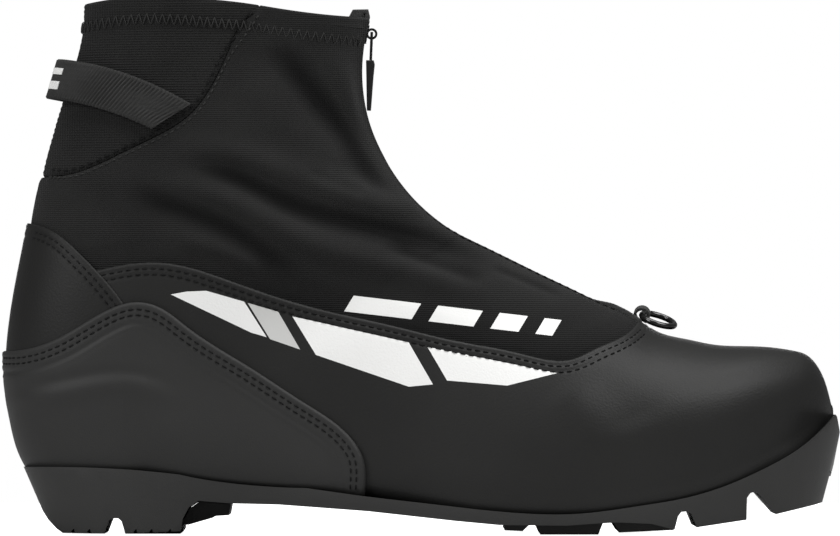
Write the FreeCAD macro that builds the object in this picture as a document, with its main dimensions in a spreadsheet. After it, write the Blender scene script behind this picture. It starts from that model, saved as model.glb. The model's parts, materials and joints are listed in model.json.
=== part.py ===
import FreeCAD, Part
import Sketcher
import math
import os
from FreeCAD import Vector

# Cross country ski boot with a zipped gaiter. Millimetres, +X to the toe, +Z up,
# lateral side at -Y. The ground is z = 0 and the origin is the middle of the footprint.

os.makedirs("parts", exist_ok=True)
doc = FreeCAD.newDocument("cross_country_boot")
sheet = doc.addObject("Spreadsheet::Sheet", "Sizes")

SIZES = [
    ("zip_centre_x", 45.0),
    ("zip_centre_z", 165.6),
    ("zip_radius", 66.2),
    ("coil_rest_angle", 168.0),
    ("panel_thickness", 1.2),
    ("layer_gap", 0.1),
    ("padding_depth", 6.2),
    ("lining_thickness", 1.0),
    ("slot_half_width", 5.0),
    ("coil_half_width", 2.8),
    ("coil_half_gap", 0.6),
    ("tape_half_width", 9.0),
    ("tape_thickness", 0.5),
    ("slider_half_width", 3.7),
    ("slider_half_angle", 3.6),
    ("crossbar_depth", 2.5),
    ("crown_outer", 2.05),
    ("crown_hole", 1.2),
    ("crown_half_width", 0.8),
    ("link_length", 9.4),
    ("link_half_width", 2.2),
    ("link_window", 1.3),
    ("link_thickness", 1.0),
    ("grip_width", 7.0),
    ("grip_length", 18.0),
    ("ring_mean_radius", 6.1),
    ("ring_wire_radius", 1.1),
    ("tab_width", 4.4),
    ("tab_thickness", 1.0),
    ("tab_hole", 2.0),
    ("bar_radius", 1.5),
    ("bar_length", 42.0),
    ("bar_position_x", 136.3),
    ("bar_height", 16.0),
    ("recess_width", 28.0),
    ("groove_width", 9.0),
    ("groove_offset", 13.0),
    ("loop_width", 14.8),
    ("loop_thickness", 1.6),
    ("loop_tilt", 19.0),
    ("eyelet_outer", 3.2),
    ("eyelet_inner", 1.9),
    ("shank_half_width", 9.0),
]
for row, (name, value) in enumerate(SIZES, start=1):
    sheet.set("A%d" % row, name)
    sheet.set("B%d" % row, str(value))
    sheet.setAlias("B%d" % row, name)
doc.recompute()


def size(name):
    return float(sheet.get(name))


CENTRE_X = size("zip_centre_x")
CENTRE_Z = size("zip_centre_z")
PANEL = size("panel_thickness")
GAP = size("layer_gap")
FLUSH = PANEL + GAP
HALF = 75.0

# The soft gaiter lies one panel deeper than the vamp, so the reference skin stands
# proud of the zip by one layer.
SKIN_RADIUS = size("zip_radius") - FLUSH
ARC_END = 244.0


def on_arc(angle, radius=None):
    reach = SKIN_RADIUS if radius is None else radius
    turn = math.radians(angle)
    return (CENTRE_X + reach * math.cos(turn), CENTRE_Z + reach * math.sin(turn))


def on_instep(distance):
    start = on_arc(ARC_END)
    slope = math.radians(ARC_END - 270.0)
    return (start[0] + distance * math.cos(slope), start[1] + distance * math.sin(slope))


# Cross sections of the reference skin: back or bottom point, front or top point,
# lateral and medial half width, place of the widest point and the two roundnesses.
SECTIONS = [
    ((-121.2, 206.0), on_arc(150), 36.4, 36.4, 0.48, 2.2, 2.1),
    ((-121.4, 191.0), on_arc(160), 36.2, 36.2, 0.48, 2.2, 2.1),
    ((-122.8, 176.0), on_arc(169), 36.0, 36.0, 0.48, 2.2, 2.1),
    ((-128.2, 158.0), on_arc(180), 35.4, 35.4, 0.47, 2.3, 2.1),
    ((-133.4, 141.0), on_arc(190), 34.7, 34.7, 0.46, 2.4, 2.15),
    ((-137.9, 122.0), on_arc(200), 34.3, 34.3, 0.45, 2.5, 2.2),
    ((-140.9, 105.0), on_arc(209), 34.9, 34.9, 0.44, 2.6, 2.3),
    ((-144.2, 88.0), on_arc(217), 35.7, 35.7, 0.43, 2.7, 2.4),
    ((-146.6, 72.0), on_arc(224), 36.2, 36.2, 0.42, 2.8, 2.5),
    ((-147.2, 57.0), on_arc(230), 36.5, 36.5, 0.42, 2.8, 2.5),
    ((-144.8, 42.0), on_arc(235), 36.5, 36.5, 0.42, 2.8, 2.5),
    ((-141.0, 29.0), on_arc(239), 36.5, 36.5, 0.42, 2.9, 2.5),
    ((-133.5, 19.8), on_arc(242), 36.6, 36.6, 0.42, 3.2, 2.5),
    ((-116.0, 18.0), on_instep(0), 37.0, 36.8, 0.40, 3.8, 2.4),
    ((-90.0, 16.6), on_instep(9), 38.0, 37.4, 0.38, 4.4, 2.4),
    ((-60.0, 14.2), on_instep(20), 39.4, 37.6, 0.36, 4.8, 2.3),
    ((-30.0, 11.2), on_instep(32), 41.8, 39.0, 0.35, 5.0, 2.2),
    ((-4.0, 8.8), on_instep(44), 45.0, 42.4, 0.34, 5.6, 2.2),
    ((19.0, 6.6), on_instep(55), 48.2, 46.4, 0.33, 6.6, 2.2),
    ((40.0, 5.6), on_instep(66), 50.0, 49.2, 0.33, 7.5, 2.15),
    ((60.0, 5.8), (85.6, 72.0), 50.0, 50.2, 0.34, 7.5, 2.2),
    ((78.0, 7.9), (95.6, 69.4), 48.2, 49.2, 0.36, 7.5, 2.25),
    ((95.0, 11.2), (105.6, 67.4), 44.6, 46.8, 0.38, 7.4, 2.35),
    ((110.0, 15.8), (115.6, 66.9), 39.6, 42.8, 0.40, 7.0, 2.45),
    ((123.0, 21.6), (125.6, 66.5), 33.0, 36.2, 0.42, 6.4, 2.5),
    ((133.5, 27.0), (134.4, 65.2), 25.6, 28.0, 0.44, 5.6, 2.5),
    ((141.0, 32.4), (141.0, 61.8), 17.8, 19.4, 0.46, 4.6, 2.5),
    ((145.6, 37.0), (145.4, 54.0), 10.2, 11.2, 0.48, 3.2, 2.4),
    ((147.6, 40.0), (147.6, 46.0), 3.4, 3.7, 0.50, 2.2, 2.2),
]
STEPS = 9

COLLAR = [(-150.0, 187.5), (-120.8, 189.3), (-101.2, 191.3), (-80.1, 190.5),
          (-60.9, 188.5), (-50.1, 186.8), (-26.5, 184.1), (10.0, 183.6)]
ANKLE_SEAM = [(-56.4, 188.1), (-60.9, 183.6), (-68.6, 170.3), (-78.2, 153.0), (-83.9, 147.3),
              (-94.8, 141.0), (-105.7, 135.9), (-115.3, 131.5), (-124.9, 128.4), (-150.0, 129.0)]
QUARTER_EDGE = [(-126.0, 91.6), (-114.4, 94.0), (-102.5, 96.2), (-89.7, 96.3), (-70.5, 91.2),
                (-51.9, 84.7), (-31.4, 79.1), (-10.8, 74.5), (14.4, 68.6), (35.9, 64.5),
                (53.5, 62.3), (63.0, 66.5), (74.7, 72.3), (79.1, 77.0)]
COUNTER_EDGE = [(-150.0, 112.0), (-140.3, 110.9), (-130.1, 107.3), (-120.5, 99.2),
                (-112.1, 90.5), (-105.1, 81.5), (-99.0, 70.0)]
OVERLAY_EDGE = [(-155.0, 65.6), (-142.9, 65.2), (-129.4, 69.0), (-112.1, 79.0), (-101.2, 82.4),
                (-94.0, 81.2), (-82.7, 73.6), (-60.9, 59.5), (-41.0, 46.6), (-25.4, 35.2),
                (-20.6, 28.0), (-19.7, 12.0)]


def away(points, index, side):
    before = points[max(index - 1, 0)]
    after = points[min(index + 1, len(points) - 1)]
    run = math.hypot(after[0] - before[0], after[1] - before[1])
    return (-side * (after[1] - before[1]) / run, side * (after[0] - before[0]) / run)


def section_ring(index, depth):
    """Points round one section, sunk by depth below the reference skin."""
    lows = [entry[0] for entry in SECTIONS]
    tops = [entry[1] for entry in SECTIONS]
    low_side = away(lows, index, 1)
    top_side = away(tops, index, -1)
    low = (lows[index][0] + depth * low_side[0], lows[index][1] + depth * low_side[1])
    top = (tops[index][0] + depth * top_side[0], tops[index][1] + depth * top_side[1])
    before = SECTIONS[max(index - 1, 0)]
    after = SECTIONS[min(index + 1, len(SECTIONS) - 1)]
    travel = math.hypot(after[0][0] + after[1][0] - before[0][0] - before[1][0],
                        after[0][1] + after[1][1] - before[0][1] - before[1][1]) / 2
    entry = SECTIONS[index]
    widths = []
    for side in (2, 3):
        slope = (after[side] - before[side]) / travel
        widths.append(max(entry[side] - depth / math.hypot(1, slope), 0.5))
    chord = math.hypot(top[0] - low[0], top[1] - low[1])
    along = ((top[0] - low[0]) / chord, (top[1] - low[1]) / chord)
    widest, low_round, top_round = entry[4:7]
    ring = []
    for step in range(4 * STEPS + 1):
        turn = math.pi * step / (2 * STEPS)
        cosine = math.cos(turn)
        sine = math.sin(turn)
        power = low_round if cosine >= 0 else top_round
        reach = widest * chord if cosine >= 0 else (1 - widest) * chord
        swell = (abs(cosine) ** power + abs(sine) ** power) ** (-1 / power)
        height = widest * chord - cosine * swell * reach
        width = widths[0] if sine >= 0 else widths[1]
        ring.append(Vector(low[0] + along[0] * height, -sine * swell * width,
                           low[1] + along[1] * height))
    ring[-1] = ring[0]
    return ring


def skin_surface(depth):
    surface = Part.BSplineSurface()
    surface.interpolate([section_ring(index, depth) for index in range(len(SECTIONS))])
    return surface


LASTS = {}


def last(depth):
    """Closed solid of everything deeper than depth below the reference skin."""
    if depth not in LASTS:
        surface = skin_surface(depth)
        start, end, left, right = surface.bounds()
        middle = (left + right) / 2
        faces = [surface.toShape(start, end, left, middle),
                 surface.toShape(start, end, middle, right)]
        for station in (start, end):
            rim = surface.uIso(station)
            faces.append(Part.Face(Part.Wire([rim.toShape(left, middle),
                                              rim.toShape(middle, right)])))
        shell = Part.makeShell(faces)
        shell.sewShape()
        solid = Part.Solid(shell)
        if solid.Volume < 0:
            solid.reverse()
        LASTS[depth] = solid
    return LASTS[depth]


def layer(outer, inner):
    return last(outer).cut(last(inner))


def smooth_block(edge, corners, low=-HALF, high=HALF):
    """Block across the boot whose side view is a smooth edge closed by straight lines."""
    curve = Part.BSplineCurve()
    curve.interpolate([Vector(x, low, z) for x, z in edge])
    ends = [edge[-1]] + corners + [edge[0]]
    lines = [Part.makeLine(Vector(a[0], low, a[1]), Vector(b[0], low, b[1]))
             for a, b in zip(ends, ends[1:])]
    face = Part.Face(Part.Wire([curve.toShape()] + lines))
    return face.extrude(Vector(0, high - low, 0))


def flat_block(corners, low=-HALF, high=HALF):
    ring = [Vector(x, low, z) for x, z in corners]
    return Part.Face(Part.makePolygon(ring + ring[:1])).extrude(Vector(0, high - low, 0))


def slab(low, high):
    return Part.makeBox(400, high - low, 400, Vector(-200, low, -100))


def moved(points, right, up):
    return [(x + right, z + up) for x, z in points]


def under_collar(drop):
    """Everything below the collar line less drop."""
    return smooth_block(moved(COLLAR, 0, -drop), [(200.0, 180.0), (200.0, -10.0), (-160.0, -10.0),
                                                  (-160.0, 180.0)])


def floor_block(height, top=260.0):
    """Everything higher than height above the lowest line of the reference skin."""
    lows = [entry[0] for entry in SECTIONS[12:]]
    line = moved(lows, 0, height)
    return flat_block([(-170.0, line[0][1])] + line + [(190.0, line[-1][1]), (190.0, top),
                                                       (-170.0, top)])


FRONT_ZONE = [(-60.0, 200.0), (30.0, 200.0), (96.0, 100.0), (96.0, 58.0), (20.0, 58.0),
              (-40.0, 96.0), (-60.0, 140.0)]
BINDING = 2.6


def front_slab(low, high, end=96.0):
    zone = [(min(x, end), z) for x, z in FRONT_ZONE]
    return flat_block(zone, low, high)


def single(shape):
    """The largest solid of a shape, free of crumbs."""
    return max(shape.Solids, key=lambda solid: solid.Volume)


made = []


def feature(name, shape, placement=FreeCAD.Placement()):
    part = doc.addObject("Part::Feature", name)
    part.Label = name
    part.Shape = shape
    part.Placement = placement
    made.append(part)
    return part


# ---------------------------------------------------------------- outer panels

def vamp_and_quarter():
    zone = smooth_block(QUARTER_EDGE, [(79.1, 100.0), (170.0, 100.0), (170.0, -10.0),
                                       (-126.0, -10.0)])
    body = layer(0.0, PANEL).common(zone).common(floor_block(PANEL + 0.9))
    feature("vamp_and_quarter", single(body))


def counter_zone(grow):
    corners = [(-97.0 + grow, 40.0), (-96.0 + grow, -10.0), (-170.0, -10.0), (-170.0, 112.0 + grow)]
    return smooth_block(moved(COUNTER_EDGE, grow, grow), corners)


def heel_counter_panel():
    body = layer(-PANEL, -GAP).common(counter_zone(0.0)).common(floor_block(-0.6))
    feature("heel_counter_panel", single(body))


def overlay_zone():
    return smooth_block(OVERLAY_EDGE, [(-19.7, -10.0), (-170.0, -10.0), (-170.0, 65.6)])


def heel_overlay():
    body = layer(-PANEL - FLUSH, -GAP).common(overlay_zone()).common(floor_block(-0.6))
    body = body.cut(last(-FLUSH).common(counter_zone(0.3)))
    feature("heel_overlay", single(body))


def gaiter_body():
    lower = [(-160.0, 98.0), (-146.0, 97.0), (-120.0, 86.0), (-89.7, 88.0), (-51.9, 77.0),
             (-10.8, 66.5), (35.9, 56.5), (60.0, 54.0), (86.0, 62.0)]
    seam = moved(ANKLE_SEAM, 0.15, -0.15)
    corners = [(86.0, 120.0), (10.0, 200.0), (-56.25, 200.0)] + seam
    zone = smooth_block(lower, corners)
    return layer(FLUSH, FLUSH + PANEL).common(zone).common(under_collar(BINDING))


def gaiters():
    body = gaiter_body()
    slot = size("slot_half_width")
    body = body.cut(front_slab(-slot, slot))
    feature("gaiter_lateral", single(body.common(slab(-HALF, -0.1))))
    feature("gaiter_medial", single(body.common(slab(0.1, HALF))))


def ankle_stretch_panel():
    seam = moved(ANKLE_SEAM, -0.15, 0.15)
    zone = flat_block([(-56.55, 210.0)] + seam + [(-170.0, 129.0), (-170.0, 210.0)])
    body = layer(FLUSH, FLUSH + PANEL).common(zone).common(under_collar(BINDING))
    feature("ankle_stretch_panel", single(body))


def collar_binding():
    body = layer(FLUSH, size("padding_depth") + GAP + size("lining_thickness"))
    body = body.common(under_collar(0.0)).cut(under_collar(BINDING - 0.1))
    slot = size("slot_half_width")
    feature("collar_binding", single(body.cut(front_slab(-slot, slot))))


# ---------------------------------------------------------------- zip fastener

def zip_halves():
    coil_depth = FLUSH
    tape_depth = FLUSH + PANEL + GAP
    coil = layer(coil_depth, coil_depth + PANEL).common(under_collar(1.0))
    tape = layer(tape_depth, tape_depth + size("tape_thickness"))
    narrow = size("slot_half_width") - 0.3
    collar = under_collar(BINDING)
    gap = size("coil_half_gap")
    for side, sign in (("lateral", -1), ("medial", 1)):
        for name, body, width, end in (("zip_coil_", coil, size("coil_half_width"), 70.0),
                                       ("zip_tape_", tape, size("tape_half_width"), 76.0)):
            low, high = sorted((sign * gap, sign * width))
            strip = body.common(front_slab(low, high, end))
            if body is tape:
                top_low, top_high = sorted((sign * gap, sign * narrow))
                top = strip.common(slab(top_low, top_high)).common(under_collar(-2.2))
                strip = strip.common(collar).fuse(top).removeSplitter()
            feature(name + side, single(strip))


def sector(inner, outer, start, end, half_width):
    """Block round the zip centre between two radii and two angles."""
    steps = [start + (end - start) * k / 2 for k in range(3)]
    rims = []
    for radius in (inner, outer):
        points = [Vector(on_arc(a, radius)[0], -half_width, on_arc(a, radius)[1]) for a in steps]
        rims.append(points)
    edges = [Part.Arc(*rims[0]).toShape(), Part.makeLine(rims[0][2], rims[1][2]),
             Part.Arc(*rims[1]).toShape(), Part.makeLine(rims[0][0], rims[1][0])]
    face = Part.Face(Part.Wire(Part.__sortEdges__(edges)))
    return face.extrude(Vector(0, 2 * half_width, 0))


def crown_at():
    """Middle of the small crown that holds the cross bar of the link."""
    spot = on_arc(size("coil_rest_angle"), size("zip_radius") - size("crossbar_depth"))
    return Vector(spot[0], 0, spot[1])


def zip_slider():
    """Top and bottom plates joined by a thin web, with a round crown for the link."""
    radius = size("zip_radius")
    rest = size("coil_rest_angle")
    half = size("slider_half_angle")
    width = size("slider_half_width")
    upper = rest - 2.4
    top = sector(radius - 1.2, radius - 0.4, upper, rest + half, width)
    top = top.makeFillet(0.35, [edge for edge in top.Edges if edge.Length < 1.0])
    inside = radius + PANEL + GAP + size("tape_thickness") + 0.6
    bottom = sector(inside, inside + 0.8, upper, rest + half, width)
    web = sector(radius - 0.5, inside + 0.1, upper, upper + 2.2, 0.3)
    side = size("crown_half_width")
    start = crown_at() + Vector(0, -side, 0)
    crown = Part.makeCylinder(size("crown_outer"), 2 * side, start, Vector(0, 1, 0))
    hole = Part.makeCylinder(size("crown_hole"), 2 * side, start, Vector(0, 1, 0))
    inner = sector(radius - 0.8, radius + 3.0, upper - 3, rest + half + 3, 2 * side)
    body = top.fuse([bottom, web, crown.cut(hole).cut(inner)]).removeSplitter()
    feature("zip_slider", single(body))


def pull_frame():
    """Placement whose X runs down the hanging pull, Y across the zip, from the cross bar."""
    tip = on_arc(size("coil_rest_angle") + 25.0, size("zip_radius") - 1.2)
    down = Vector(tip[0], 0, tip[1]) - crown_at()
    down.normalize()
    across = Vector(0, 1, 0)
    rotation = FreeCAD.Rotation(down, across, down.cross(across), "XYZ")
    return FreeCAD.Placement(crown_at(), rotation)


def plane_of(body, role):
    return next(item for item in body.Origin.OriginFeatures if item.Role == role)


def outline_sketch(body, name, role, corners):
    sketch = body.newObject("Sketcher::SketchObject", name)
    sketch.AttachmentSupport = [(plane_of(body, role), "")]
    sketch.MapMode = "FlatFace"
    count = len(corners)
    for index in range(count):
        start = Vector(corners[index][0], corners[index][1], 0)
        finish = Vector(corners[(index + 1) % count][0], corners[(index + 1) % count][1], 0)
        sketch.addGeometry(Part.LineSegment(start, finish), False)
    for index in range(count):
        sketch.addConstraint(Sketcher.Constraint("Coincident", index, 2, (index + 1) % count, 1))
    return sketch


def rectangle(left, right, low, high):
    return [(left, low), (right, low), (right, high), (left, high)]


def zip_pull_link():
    """Thin metal link: cross bar under the slider arch, two arms and a short plate."""
    body = doc.addObject("PartDesign::Body", "zip_pull_link")
    body.Label = "zip_pull_link"
    half = size("link_half_width")
    plate = outline_sketch(body, "link_outline", "XY_Plane",
                           rectangle(-0.7, size("link_length"), -half, half))
    pad = body.newObject("PartDesign::Pad", "link_pad")
    pad.Profile = plate
    pad.Midplane = True
    pad.setExpression("Length", "Sizes.link_thickness")
    doc.recompute()
    gap = size("link_window")
    window = outline_sketch(body, "link_window_outline", "XY_Plane",
                            rectangle(0.7, 5.4, -gap, gap))
    pocket = body.newObject("PartDesign::Pocket", "link_window_cut")
    pocket.Profile = window
    pocket.Midplane = True
    pocket.Type = 1
    doc.recompute()
    body.Placement = pull_frame()
    made.append(body)


def zip_pull_grip():
    """Rubbery grip moulded round the lower end of the link, thinner towards its tip."""
    body = doc.addObject("PartDesign::Body", "zip_pull_grip")
    body.Label = "zip_pull_grip"
    start = size("link_length") + 0.1
    end = start + size("grip_length")
    profile = [(start, -1.7), (end, -0.75), (end, 0.75), (start + 6.0, 1.2), (start + 1.4, 1.5),
               (start, 1.1)]
    outline = outline_sketch(body, "grip_outline", "XZ_Plane", profile)
    pad = body.newObject("PartDesign::Pad", "grip_pad")
    pad.Profile = outline
    pad.Midplane = True
    pad.setExpression("Length", "Sizes.grip_width")
    doc.recompute()
    body.Placement = pull_frame()
    made.append(body)


def zip_end_tab():
    """Folded cloth closing the tops of both tapes, standing just above the collar."""
    corners = [(-25.9, 183.4), (-25.9, 184.2), (-24.1, 187.5), (-18.5, 187.6), (-17.9, 184.9),
               (-18.3, 183.4)]
    tape = FLUSH + PANEL + GAP
    slots = layer(tape - GAP, tape + size("tape_thickness") + GAP).common(under_collar(-2.4))
    feature("zip_end_tab", single(flat_block(corners, -4.6, 4.6).cut(slots)))


# ---------------------------------------------------------------- toe ring and heel loop

RING_ROLL = 15.0
RING_SLOPE = 17.5
RING_CENTRE = (85.4, 76.3)


def ring_frame():
    """X along the ring towards the toe, Y along the tab bar, Z out of the ring."""
    slope = math.radians(-RING_SLOPE)
    forward = Vector(math.cos(slope), 0, math.sin(slope))
    roll = FreeCAD.Rotation(forward, RING_ROLL)
    side = roll.multVec(Vector(0, 1, 0))
    rotation = FreeCAD.Rotation(forward, side, forward.cross(side), "XYZ")
    return FreeCAD.Placement(Vector(RING_CENTRE[0], 0, RING_CENTRE[1]), rotation)


def toe_ring():
    ring = doc.addObject("Part::Torus", "toe_ring")
    ring.Label = "toe_ring"
    ring.setExpression("Radius1", "Sizes.ring_mean_radius")
    ring.setExpression("Radius2", "Sizes.ring_wire_radius")
    ring.Placement = ring_frame()
    made.append(ring)


def ring_tab():
    """Webbing looped round the back of the ring, its tail let in below the end of the zip."""
    hole = size("tab_hole")
    half = size("tab_width") / 2
    across = Vector(0, 1, 0)
    eye = Vector(-size("ring_mean_radius"), -half, 0)
    loop = Part.makeCylinder(hole + size("tab_thickness"), 2 * half, eye, across)
    opening = Part.makeCylinder(hole, 20.0, eye - across * 8.0, across)
    loop.Placement = ring_frame()
    opening.Placement = ring_frame()
    over_vamp = last(-0.15).common(Part.makeBox(40, 60, 60, Vector(78.0, -30, 50)))
    loop = loop.cut(over_vamp)
    slot = size("slot_half_width") - 0.3
    tail = layer(-0.2, 1.1).common(Part.makeBox(7.4, 2 * slot, 60, Vector(70.4, -slot, 50)))
    body = loop.fuse(single(tail)).cut(opening)
    feature("ring_tab", single(body))


def heel_pull_loop():
    """Webbing strap round the back of the ankle, standing clear as a finger loop."""
    half = [(-76.0, 34.5), (-86.0, 34.4), (-96.0, 33.5), (-110.0, 29.2), (-121.5, 21.8), (-129.0, 11.5)]
    path = half + [(-131.6, 0.0)] + [(x, -y) for x, y in reversed(half)]
    thick = size("loop_thickness")
    outside = []
    for index in range(len(path)):
        side = away(path, index, -1)
        outside.append((path[index][0] + thick * side[0], path[index][1] + thick * side[1]))
    curves = []
    for line in (path, outside):
        curve = Part.BSplineCurve()
        curve.interpolate([Vector(x, y, 0) for x, y in line])
        curves.append(curve.toShape())
    ends = [Part.makeLine(curves[0].valueAt(curves[0].FirstParameter),
                          curves[1].valueAt(curves[1].FirstParameter)),
            Part.makeLine(curves[0].valueAt(curves[0].LastParameter),
                          curves[1].valueAt(curves[1].LastParameter))]
    rim = Part.Wire(Part.__sortEdges__(curves + ends))
    strap = Part.Face(rim).extrude(Vector(0, 0, size("loop_width")))
    tilt = FreeCAD.Rotation(Vector(0, 1, 0), size("loop_tilt"))
    back = Vector(-134.5, 0, 155.8)
    strap.Placement = FreeCAD.Placement(back - tilt.multVec(Vector(-131.6 - thick, 0, 0)), tilt)
    beyond = flat_block([(-110.8, 131.8), (-67.0, 163.6), (0.0, 163.6), (0.0, 131.8)])
    feature("heel_pull_loop", single(strap.cut(beyond).cut(last(FLUSH - GAP))))


# ---------------------------------------------------------------- inside the boot

def foot_zone(shift=0.0):
    edge = [(-170.0, 116.0), (-120.0, 100.0), (-80.0, 92.0), (-20.0, 84.0), (40.0, 74.0),
            (80.0, 60.0)]
    return smooth_block(moved(edge, 0, shift), [(80.0 - shift, 62.0 + shift),
                                                (80.0 - shift, 120.0), (170.0, 120.0),
                                                (170.0, -10.0), (-170.0, -10.0)])


def tongue_zone(half_width):
    zone = flat_block([(-62.0, 210.0), (30.0, 210.0), (82.0, 110.0), (82.0, 58.0), (20.0, 58.0),
                       (-40.0, 96.0), (-62.0, 140.0)], -half_width, half_width)
    return zone


def heel_stiffener():
    zone = smooth_block([(-170.0, 92.0), (-140.0, 90.0), (-115.0, 78.0), (-96.0, 50.0),
                         (-84.0, 24.0)], [(-84.0, -10.0), (-170.0, -10.0)])
    body = layer(2.6, 3.8).common(zone).common(floor_block(3.8))
    feature("heel_stiffener", single(body))


def toe_puff():
    zone = smooth_block([(96.0, 90.0), (94.0, 66.0), (99.0, 48.0), (112.0, 32.0), (118.0, 10.0)],
                        [(170.0, 10.0), (170.0, 90.0)])
    body = layer(1.3, 2.5).common(zone).common(floor_block(3.8))
    feature("toe_puff", single(body))


def padding_and_tongue():
    deep = size("padding_depth")
    lower = foot_zone()
    foot = layer(3.9, deep).common(lower)
    feature("foot_insulation", single(foot))
    ankle = layer(2.6, deep).common(under_collar(BINDING)).cut(foot_zone(0.4))
    feature("ankle_padding", single(ankle.cut(tongue_zone(24.3))))
    tongue = layer(4.9, deep).common(under_collar(BINDING)).common(tongue_zone(24.0))
    feature("tongue", single(tongue.cut(foot_zone(0.4))))


def lining():
    deep = size("padding_depth") + GAP
    body = layer(deep, deep + size("lining_thickness")).common(under_collar(BINDING))
    body = body.common(floor_block(deep + size("lining_thickness") + 0.9))
    feature("lining_lateral", single(body.common(slab(-HALF, -0.05))))
    feature("lining_medial", single(body.common(slab(0.05, HALF))))


def insole_board_and_shank():
    board = last(1.3).cut(floor_block(3.6)).cut(last(3.8))
    half = size("shank_half_width")
    board = board.cut(Part.makeBox(130, 2 * half, 60, Vector(-95, -half, -10)).cut(floor_block(2.6)))
    feature("insole_board", single(board))
    trim = Part.makeBox(129.6, 2 * half - 0.4, 60, Vector(-94.8, -half + 0.2, -10))
    feature("shank", single(last(1.4).common(trim).cut(floor_block(2.5))))


def footbed():
    feature("footbed", single(last(7.4).cut(floor_block(11.4))))


LACE_ANGLES = [178.0, 190.0, 202.0, 214.0, 226.0]


def lace_stays():
    """Two strips beside the tongue with five eyelets each, under the gaiter."""
    outer, inner = 3.2, 4.2
    surface = skin_surface((outer + inner) / 2)
    strip = layer(outer, inner).common(under_collar(8.0))
    for side, sign in (("lateral", -1), ("medial", 1)):
        low, high = sorted((sign * 10.0, sign * 21.0))
        stay = strip.common(front_slab(low, high, 60.0))
        tubes = []
        for angle in LACE_ANGLES:
            spot = on_arc(angle, size("zip_radius") + 3.0)
            near = surface.parameter(Vector(spot[0] - 2.0, sign * 15.0, spot[1]))
            centre = surface.value(*near)
            axis = surface.normal(*near)
            hole = Part.makeCylinder(size("eyelet_outer"), 6.0, centre - axis * 3.0, axis)
            stay = stay.cut(hole)
            tube = Part.makeCylinder(size("eyelet_outer") - 0.05, 1.4, centre - axis * 0.7, axis)
            tubes.append(tube.cut(Part.makeCylinder(size("eyelet_inner"), 6.0, centre - axis * 3.0,
                                                    axis)))
        feature("lace_stay_" + side, single(stay))
        feature("lace_eyelets_" + side, Part.makeCompound(tubes))


# ---------------------------------------------------------------- sole

FEATHER = [(-160.0, 23.4), (-129.4, 23.8), (-112.2, 23.4), (-96.1, 22.3), (-80.1, 20.6),
           (-60.9, 18.8), (-36.1, 15.8), (-19.8, 13.5), (2.9, 10.9), (24.2, 8.5), (38.4, 7.4),
           (57.9, 7.5), (76.2, 9.9), (94.5, 13.0), (109.1, 17.4), (123.8, 23.9), (134.7, 30.0),
           (144.2, 38.0), (148.3, 42.4)]
OUTLINE = [
    (-131.5, 8.0), (-129.0, 19.0), (-120.0, 28.5), (-100.0, 33.0), (-70.0, 34.0), (-40.0, 37.4),
    (-10.0, 43.4), (20.0, 48.6), (42.0, 51.0), (62.0, 50.8), (82.0, 48.0), (100.0, 43.0),
    (115.0, 36.6), (127.0, 29.8), (135.5, 22.8), (140.2, 15.6), (142.0, 7.8)]


def outline_wire(height, inset):
    """Plan of the sole at a height; the walls lean out a little on the way up."""
    grow = 0.12 * height
    points = []
    for x, width in OUTLINE:
        back = 0.43 * height * max(0.0, (-x - 100.0) / 31.5)
        front = 0.255 * height * max(0.0, (x - 100.0) / 42.0)
        points.append((x - back + front, (width + grow * min(1.0, width / 20.0)) - inset))
    ring = [Vector(x, -y, height) for x, y in points]
    ring += [Vector(x, y, height) for x, y in reversed(points)]
    curve = Part.BSplineCurve()
    curve.interpolate(Points=ring, PeriodicFlag=True)
    return Part.Wire([curve.toShape()])


def sole_prism(inset=0.0):
    return Part.makeLoft([outline_wire(-2.0, inset), outline_wire(46.0, inset)], True, True)


# Side view of the lower edge of the sole from the heel to the toe, with its through notches.
SOLE_BASE = [
    (-138.5, 16.0), (-137.0, 13.0), (-135.9, 9.5), (-132.8, 4.9), (-129.8, 1.8), (-127.4, 0.2),
    (-112.4, 0.2), (-110.7, 4.7), (-109.5, 5.6), (-107.4, 5.6), (-106.2, 4.5), (-104.9, 0.2),
    (-85.2, 1.0), (-84.4, 5.5), (-82.2, 9.5), (-78.8, 11.8), (-67.0, 10.9), (-50.1, 10.5),
    (-18.4, 8.2), (12.8, 4.8), (28.0, 3.4), (38.6, 3.3), (41.1, 3.3), (52.0, 3.2), (64.8, 4.1),
    (68.6, 4.3), (71.0, 4.3), (82.0, 3.8), (90.3, 1.7), (91.5, 6.4), (92.7, 8.0), (95.1, 8.2),
    (96.3, 7.2), (98.2, 2.5), (116.1, 5.1), (116.2, 12.9), (117.4, 14.6), (119.1, 15.1),
    (120.6, 14.0), (126.7, 7.0), (141.0, 10.3), (144.0, 11.2), (144.9, 13.0), (147.9, 24.5),
    (150.0, 36.1), (148.8, 41.6)]
HEEL_NOTCH = [(-112.5, -5.0), (-112.4, 0.2), (-110.7, 4.7), (-109.5, 5.6), (-107.4, 5.6),
              (-106.2, 4.5), (-104.9, 0.2), (-104.8, -5.0)]
HEEL_PLAN = [(-79.0, 26.0), (-104.0, 27.0), (-117.0, 22.5), (-124.5, 13.5)]
HEEL_LUG = [(-88.0, 3.0), (-82.4, 3.2), (-74.1, 5.6), (-72.8, 6.3), (-68.1, 6.6), (-67.4, 10.6),
            (-78.7, 11.4), (-81.8, 9.2), (-84.0, 5.3), (-88.0, 5.3)]
FORE_TOP = [(30.0, 4.1), (42.0, 4.4), (60.0, 4.8), (75.0, 5.3), (88.0, 7.4), (90.0, 7.6)]


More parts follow.
